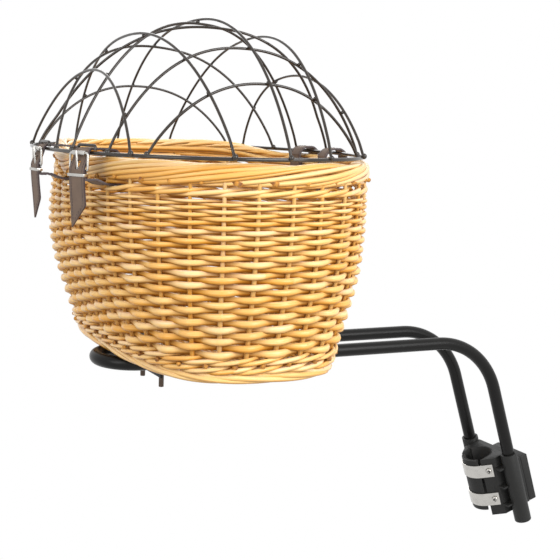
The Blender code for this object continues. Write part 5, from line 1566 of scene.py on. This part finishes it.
class DomeWires(bpy.types.Operator):
    """Bend the ring and the wires of the lid, and weld them where they meet"""
    bl_idname = "dog_basket.dome"
    bl_label = "Bend the dome"

    def execute(self, context):
        settings = context.scene.dog_basket_dome
        ring = [(*ring_point(360 * i / RING_STEPS), RING_HEIGHT) for i in range(RING_STEPS)]
        one_wire("ring_wire", "dome_ring", ring, RING_SEEN / 2, settings, closed=True)
        routes = {}
        for node, shape in DOME_WIRES.items():
            coarse = arch_route(*shape, node == INNER_WIRE, settings.wire_steps // 2)
            routes[node] = smooth_route(coarse, 2)
            one_wire(node.replace("arch", "wire"), node, routes[node], ARCH_SEEN / 2, settings)
        for number, station in closure_stations().items():
            one_wire(f"guide_wire_{number}", f"strap_guide_{number}", self.guide(station),
                     GUIDE_WIRE / 2, settings)
        self.welds(routes, settings)
        return {"FINISHED"}

    def guide(self, station):
        """A staple over a strap."""
        low = RING_HEIGHT + RING_WIRE / 2 - GAP
        high = RING_HEIGHT + RING_WIRE / 2 + GAP + GUIDE_RISE
        half = STRAP_WIDTH / 2 / cos(station.skew) + GUIDE_WIRE + GAP
        ends = [station.spot_on_ring(-half), station.spot_on_ring(half)]
        along = (ends[1] - ends[0]).normalized()
        corner = arc((GUIDE_CORNER, high - GUIDE_CORNER), GUIDE_CORNER, pi, pi / 2, CORNER_STEPS)
        near = [(*(ends[0] + along * out), up) for out, up in corner]
        far = [(*(ends[1] - along * out), up) for out, up in reversed(corner)]
        return [(*ends[0], low), *near, *far, (*ends[1], low)]

    def welds(self, routes, settings):
        """Beads at the wires' feet and wherever two wires touch."""
        lines = {node: np.array([tuple(spot) for spot in route]) for node, route in routes.items()}
        up = np.array((0.0, 0.0, 1.0))
        welds = []
        for line in lines.values():
            welds += [(end + up * RING_SEEN / 2, up, WELD_FOOT_SIZE) for end in (line[0], line[-1])]
        for first in (line for node, line in lines.items() if "across" in node):
            for second in (line for node, line in lines.items() if "along" in node):
                apart = np.linalg.norm(first[:, None] - second[None], axis=2)
                i, j = np.unravel_index(np.argmin(apart), apart.shape)
                if apart[i, j] < ARCH_WIRE * WELD_REACH_SHARE:
                    welds.append(((first[i] + second[j]) / 2, first[i] - second[j], WELD_CROSS_SIZE))
        thing = scattered("dome_welds", "weld_beads", *zip(*welds), "dark_wire", settings.bead,
                          settings.bead, WELD_SIDES)
        settle(thing, "dome", "dark_wire")


class Straps(bpy.types.Operator):
    """Cut the closure and hinge straps, with their holes and stitching"""
    bl_idname = "dog_basket.straps"
    bl_label = "Cut the straps"

    def execute(self, context):
        settings = context.scene.dog_basket_leather
        kinds = {
            "closure": (closure_stations(), closure_path, TAIL_TAPER, PRONG_HOLE),
            "hinge": (hinge_stations(), hinge_path, None, RIVET_HOLE),
        }
        stitches, facings = [], []
        for kind, (stations, path_of, taper, hole) in kinds.items():
            for number, station in stations.items():
                rows = strap_rows(station, path_of(station), settings.steps, taper)
                opened = [rows[-1].run - before for before in hole]
                thing = strap_piece(f"{kind}_leather_{number}", rows, opened)
                settle(thing, "holder", "taupe_leather", f"{kind}_strap_{number}")
                places = stitch_places(rows, settings.stitch_pitch)
                stitches += places[0]
                facings += places[1]
        thing = scattered("strap_stitches", "stitches", stitches, facings, np.ones(len(stitches)),
                          "thread", STITCH_RADIUS, STITCH_LENGTH, STITCH_SIDES)
        settle(thing, "holder", "taupe_leather")
        return {"FINISHED"}


class Buckles(bpy.types.Operator):
    """Finish the buckles, their rollers and prongs, the keepers and the rivets"""
    bl_idname = "dog_basket.buckles"
    bl_label = "Finish the buckles"

    def execute(self, context):
        settings = context.scene.dog_basket_dome
        for number, station in closure_stations().items():
            bundle = Bundle()
            bundle.add(self.frame_route(station), BUCKLE_WIRE / 2, closed=True)
            thing = bundle.sweep(f"buckle_wire_{number}", "plated_steel", sides=settings.wire_sides,
                                 upright=True)
            settle(thing, "holder", "plated_steel", f"buckle_frame_{number}")
            dressed(f"buckle_roller_{number}", f"roller_{number}", "plated_steel", FINE_EDGE)
            dressed(f"buckle_prong_{number}", f"prong_{number}", "plated_steel", FINE_EDGE)
            dressed(f"strap_keeper_{number}", "holder", "plated_steel", SOFT_EDGE)
        for number in HINGE_STRAPS:
            dressed(f"hinge_rivet_{number}", "holder", "plated_steel", FINE_EDGE)
        return {"FINISHED"}

    def frame_route(self, station):
        """A rectangle with round corners, roller bar above and hinge bar below."""
        half = STRAP_WIDTH / 2 + BUCKLE_SIDE_ROOM + BUCKLE_WIRE / 2
        tall, out = BUCKLE_HEIGHT / 2, frame_reach(station)
        route = []
        for quarter, (way, rise) in enumerate(((1, 1), (-1, 1), (-1, -1), (1, -1))):
            centre = (way * (half - BUCKLE_CORNER), rise * (tall - BUCKLE_CORNER) - tall)
            corner = arc(centre, BUCKLE_CORNER, quarter * pi / 2, (quarter + 1) * pi / 2, CORNER_STEPS)
            route += [tuple(station.at(out, aside, up)) for aside, up in corner]
        return route


def bracket_point(x, y, z):
    """A point of the bracket's frame, told from the base."""
    return LEAN_TURN @ Vector((x, y, z)) - BASE


def bow_route():
    """Centreline of the bow, from one leg's end round the tail to the other's."""
    radius = ROD_SPACING / 2
    foot = bracket_point(LEG_FORWARD, 0, LEG_LOW)
    corner_x = foot.x - (ROD_CENTRE - foot.z) * tan(TUBE_LEAN)
    bend_x = corner_x - BOW_BEND_RADIUS * tan((pi / 2 - TUBE_LEAN) / 2)
    bend = arc((bend_x, ROD_CENTRE - BOW_BEND_RADIUS), BOW_BEND_RADIUS, TUBE_LEAN, pi / 2,
               BOW_BEND_STEPS)
    side = [(foot.x, foot.z)] + bend
    tail_x = -BOW_TAIL + ROD_DIAMETER / 2 + radius
    tail = arc((tail_x, 0), radius, -pi / 2, -3 * pi / 2, BOW_TAIL_STEPS)
    near = [(x, -radius, z) for x, z in side]
    far = [(x, radius, z) for x, z in side[::-1]]
    return near + [(x, y, ROD_CENTRE) for x, y in tail] + far


class Bow(bpy.types.Operator):
    """Bend the bow from one tube, notch its legs, and finish its plates and bolts"""
    bl_idname = "dog_basket.bow"
    bl_label = "Bend the bow"

    def execute(self, context):
        settings = context.scene.dog_basket_metal
        bundle = Bundle()
        bundle.add(bow_route(), ROD_DIAMETER / 2)
        tube = bundle.sweep("bow_tube", "black_tube", sides=settings.tube_sides, upright=True)
        for side in (-1, 1):
            self.notch(tube, side)
        smoothed(tube, TUBE_ANGLE)
        settle(tube, "holder", "black_tube", "bow")
        for name in ("front", "rear"):
            dressed(f"cross_plate_{name}", "holder", "black_tube", WIDE_EDGE)
            dressed(f"inner_plate_{name}", "holder", "plated_steel", SHELL_EDGE)
        for number in range(1, 5):
            for kind in ("bolt", "nut"):
                dressed(f"plate_{kind}_{number}", "holder", "plated_steel", SOFT_EDGE,
                        finish="brown_steel")
        return {"FINISHED"}

    def notch(self, tube, side):
        """Cut the notch that the locking leaf bites into."""
        inner = ROD_SPACING / 2 - ROD_DIAMETER / 2
        near, far = sorted((side * (inner - ROD_DIAMETER / 4), side * (inner + NOTCH_DEPTH)))
        size = (NOTCH_WIDTH, far - near, NOTCH_HEIGHT)
        place = (LEG_FORWARD, (near + far) / 2, NOTCH_MIDDLE)
        made = bmesh.new()
        bmesh.ops.create_cube(made, size=1)
        bmesh.ops.scale(made, vec=size, verts=made.verts)
        bmesh.ops.translate(made, vec=place, verts=made.verts)
        bmesh.ops.rotate(made, cent=(0, 0, 0), matrix=LEAN_TURN, verts=made.verts)
        cutter = piece_from("notch_cutter", [])
        made.to_mesh(cutter.data)
        made.free()
        cut = tube.modifiers.new("notch", "BOOLEAN")
        cut.operation = "DIFFERENCE"
        cut.solver = "EXACT"
        cut.object = cutter
        made_plain(tube)
        bpy.data.objects.remove(cutter)


class Bracket(bpy.types.Operator):
    """Finish the bracket's mouldings, its clamp bands, screws and liners"""
    bl_idname = "dog_basket.bracket"
    bl_label = "Finish the bracket"

    def execute(self, context):
        dressed("bracket_body", "bracket", "black_plastic", WIDE_EDGE)
        dressed("latch_cover", "bracket", "black_plastic", COVER_EDGE)
        dressed("latch_button", "button", "black_plastic", COVER_EDGE)
        dressed("rear_clamp_shell", "bracket", "black_plastic", SHELL_EDGE)
        for name in ("liner_front", "liner_rear"):
            dressed(name, "bracket", "black_rubber", SOFT_EDGE)
        for name in ("clamp_band_upper", "clamp_band_lower"):
            dressed(name, "bracket", "plated_steel", FINE_EDGE)
        self.leaf()
        for name, count in (("clamp_screw", 4), ("cover_screw", 2)):
            for number in range(1, count + 1):
                dressed(f"{name}_{number}", "bracket", "plated_steel", FINE_EDGE)
        return {"FINISHED"}

    def leaf(self):
        """The locking leaf, dressed in plated steel and left on no body."""
        thing = dressed("lock_spring", None, "plated_steel", FINE_EDGE)
        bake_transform(thing)


def end_backdrop(tree, kind, lit, seen):
    """Close a tree with one shader for light and a white one for rays that see the background."""
    rays = tree.add("ShaderNodeLightPath").outputs
    names = ("Is Camera Ray", "Is Glossy Ray", "Is Transmission Ray")
    share = sum((Signal(tree, rays[name]) for name in names), 0.0).held()
    mix = tree.out("ShaderNodeMixShader", None, {0: share, 1: lit, 2: seen})
    tree.add(kind, None, {"Surface": mix})


class Stage(bpy.types.Operator):
    """Set the floor, the lights, the sky and the camera"""
    bl_idname = "dog_basket.stage"
    bl_label = "Set the stage"

    def execute(self, context):
        settings = context.scene.dog_basket_stage
        self.floor(settings)
        self.sky(context.scene, settings)
        for name, (place, target, size, power) in LIGHTS.items():
            self.light(name, place, target, size, getattr(settings, power))
        self.camera(context.scene)
        context.scene.view_settings.view_transform = "Standard"
        return {"FINISHED"}

    def floor(self, settings):
        corners = ((-1, -1), (1, -1), (1, 1), (-1, 1))
        points = [(x * STAGE_HALF, y * STAGE_HALF, -settings.floor_drop) for x, y in corners]
        thing = piece_from("floor", points, faces=[(0, 1, 2, 3)])
        shader = Shader("pale_floor")
        matt = shader.out("ShaderNodeBsdfDiffuse", None, {"Color": opaque(STAGE_GREY)})
        bright = shader.out("ShaderNodeEmission", None, {"Color": opaque(WHITE)})
        end_backdrop(shader, "ShaderNodeOutputMaterial", matt, bright)
        thing.data.materials.append(shader.material)

    def sky(self, scene, settings):
        world = bpy.data.worlds.new("studio")
        world.use_nodes = True
        world.node_tree.nodes.clear()
        tree = Tree(world.node_tree)
        even, white = (
            tree.out("ShaderNodeBackground", None, {"Color": opaque(WHITE), "Strength": strength})
            for strength in (settings.sky, 1.0))
        end_backdrop(tree, "ShaderNodeOutputWorld", even, white)
        scene.world = world

    def light(self, name, place, target, size, power):
        lamp = bpy.data.lights.new(name, "AREA")
        lamp.shape = "DISK"
        lamp.size = size
        lamp.energy = power
        thing = bpy.data.objects.new(name, lamp)
        thing.location = place
        thing.rotation_mode = "QUATERNION"
        thing.rotation_quaternion = (Vector(target) - Vector(place)).to_track_quat("-Z", "Y")
        bpy.context.scene.collection.objects.link(thing)

    def camera(self, scene):
        made = bpy.data.cameras.new("camera")
        made.sensor_width = SENSOR
        made.lens = FOCAL_PIXELS / IMAGE_SIZE * SENSOR
        made.shift_x = (IMAGE_SIZE / 2 - AXIS_PIXEL[0]) / IMAGE_SIZE
        made.shift_y = (AXIS_PIXEL[1] - IMAGE_SIZE / 2) / IMAGE_SIZE
        thing = bpy.data.objects.new("camera", made)
        right = Vector(CAMERA_RIGHT).normalized()
        back = Vector(CAMERA_BACK).normalized()
        up = back.cross(right).normalized()
        turn = Matrix((right, up, back)).transposed().to_4x4()
        thing.matrix_world = Matrix.Translation(Vector(CAMERA_PLACE) + BASE) @ turn
        scene.collection.objects.link(thing)
        scene.camera = thing


OPERATORS = (BasketWall, BasketBorder, BasketFoot, BasketFloor, DomeWires, Straps, Buckles, Bow,
             Bracket, Stage)


class DogBasketPanel(bpy.types.Panel):
    """Buttons and sizes of the dog basket"""
    bl_idname = "VIEW3D_PT_dog_basket"
    bl_label = "Dog basket"
    bl_space_type = "VIEW_3D"
    bl_region_type = "UI"
    bl_category = "Dog basket"

    def draw(self, context):
        for label in SETTINGS:
            group = getattr(context.scene, label)
            box = self.layout.box()
            for name in group.__annotations__:
                box.prop(group, name)
        for operator in OPERATORS:
            self.layout.operator(operator.bl_idname)


CLASSES = (*SETTINGS.values(), *OPERATORS, DogBasketPanel)


def register():
    for made in CLASSES:
        bpy.utils.register_class(made)
    for name, group in SETTINGS.items():
        setattr(bpy.types.Scene, name, PointerProperty(type=group))


def unregister():
    for name in SETTINGS:
        delattr(bpy.types.Scene, name)
    for made in reversed(CLASSES):
        bpy.utils.unregister_class(made)


def main():
    register()
    for operator in OPERATORS:
        group, name = operator.bl_idname.split(".")
        getattr(getattr(bpy.ops, group), name)()


if __name__ == "__main__":
    main()
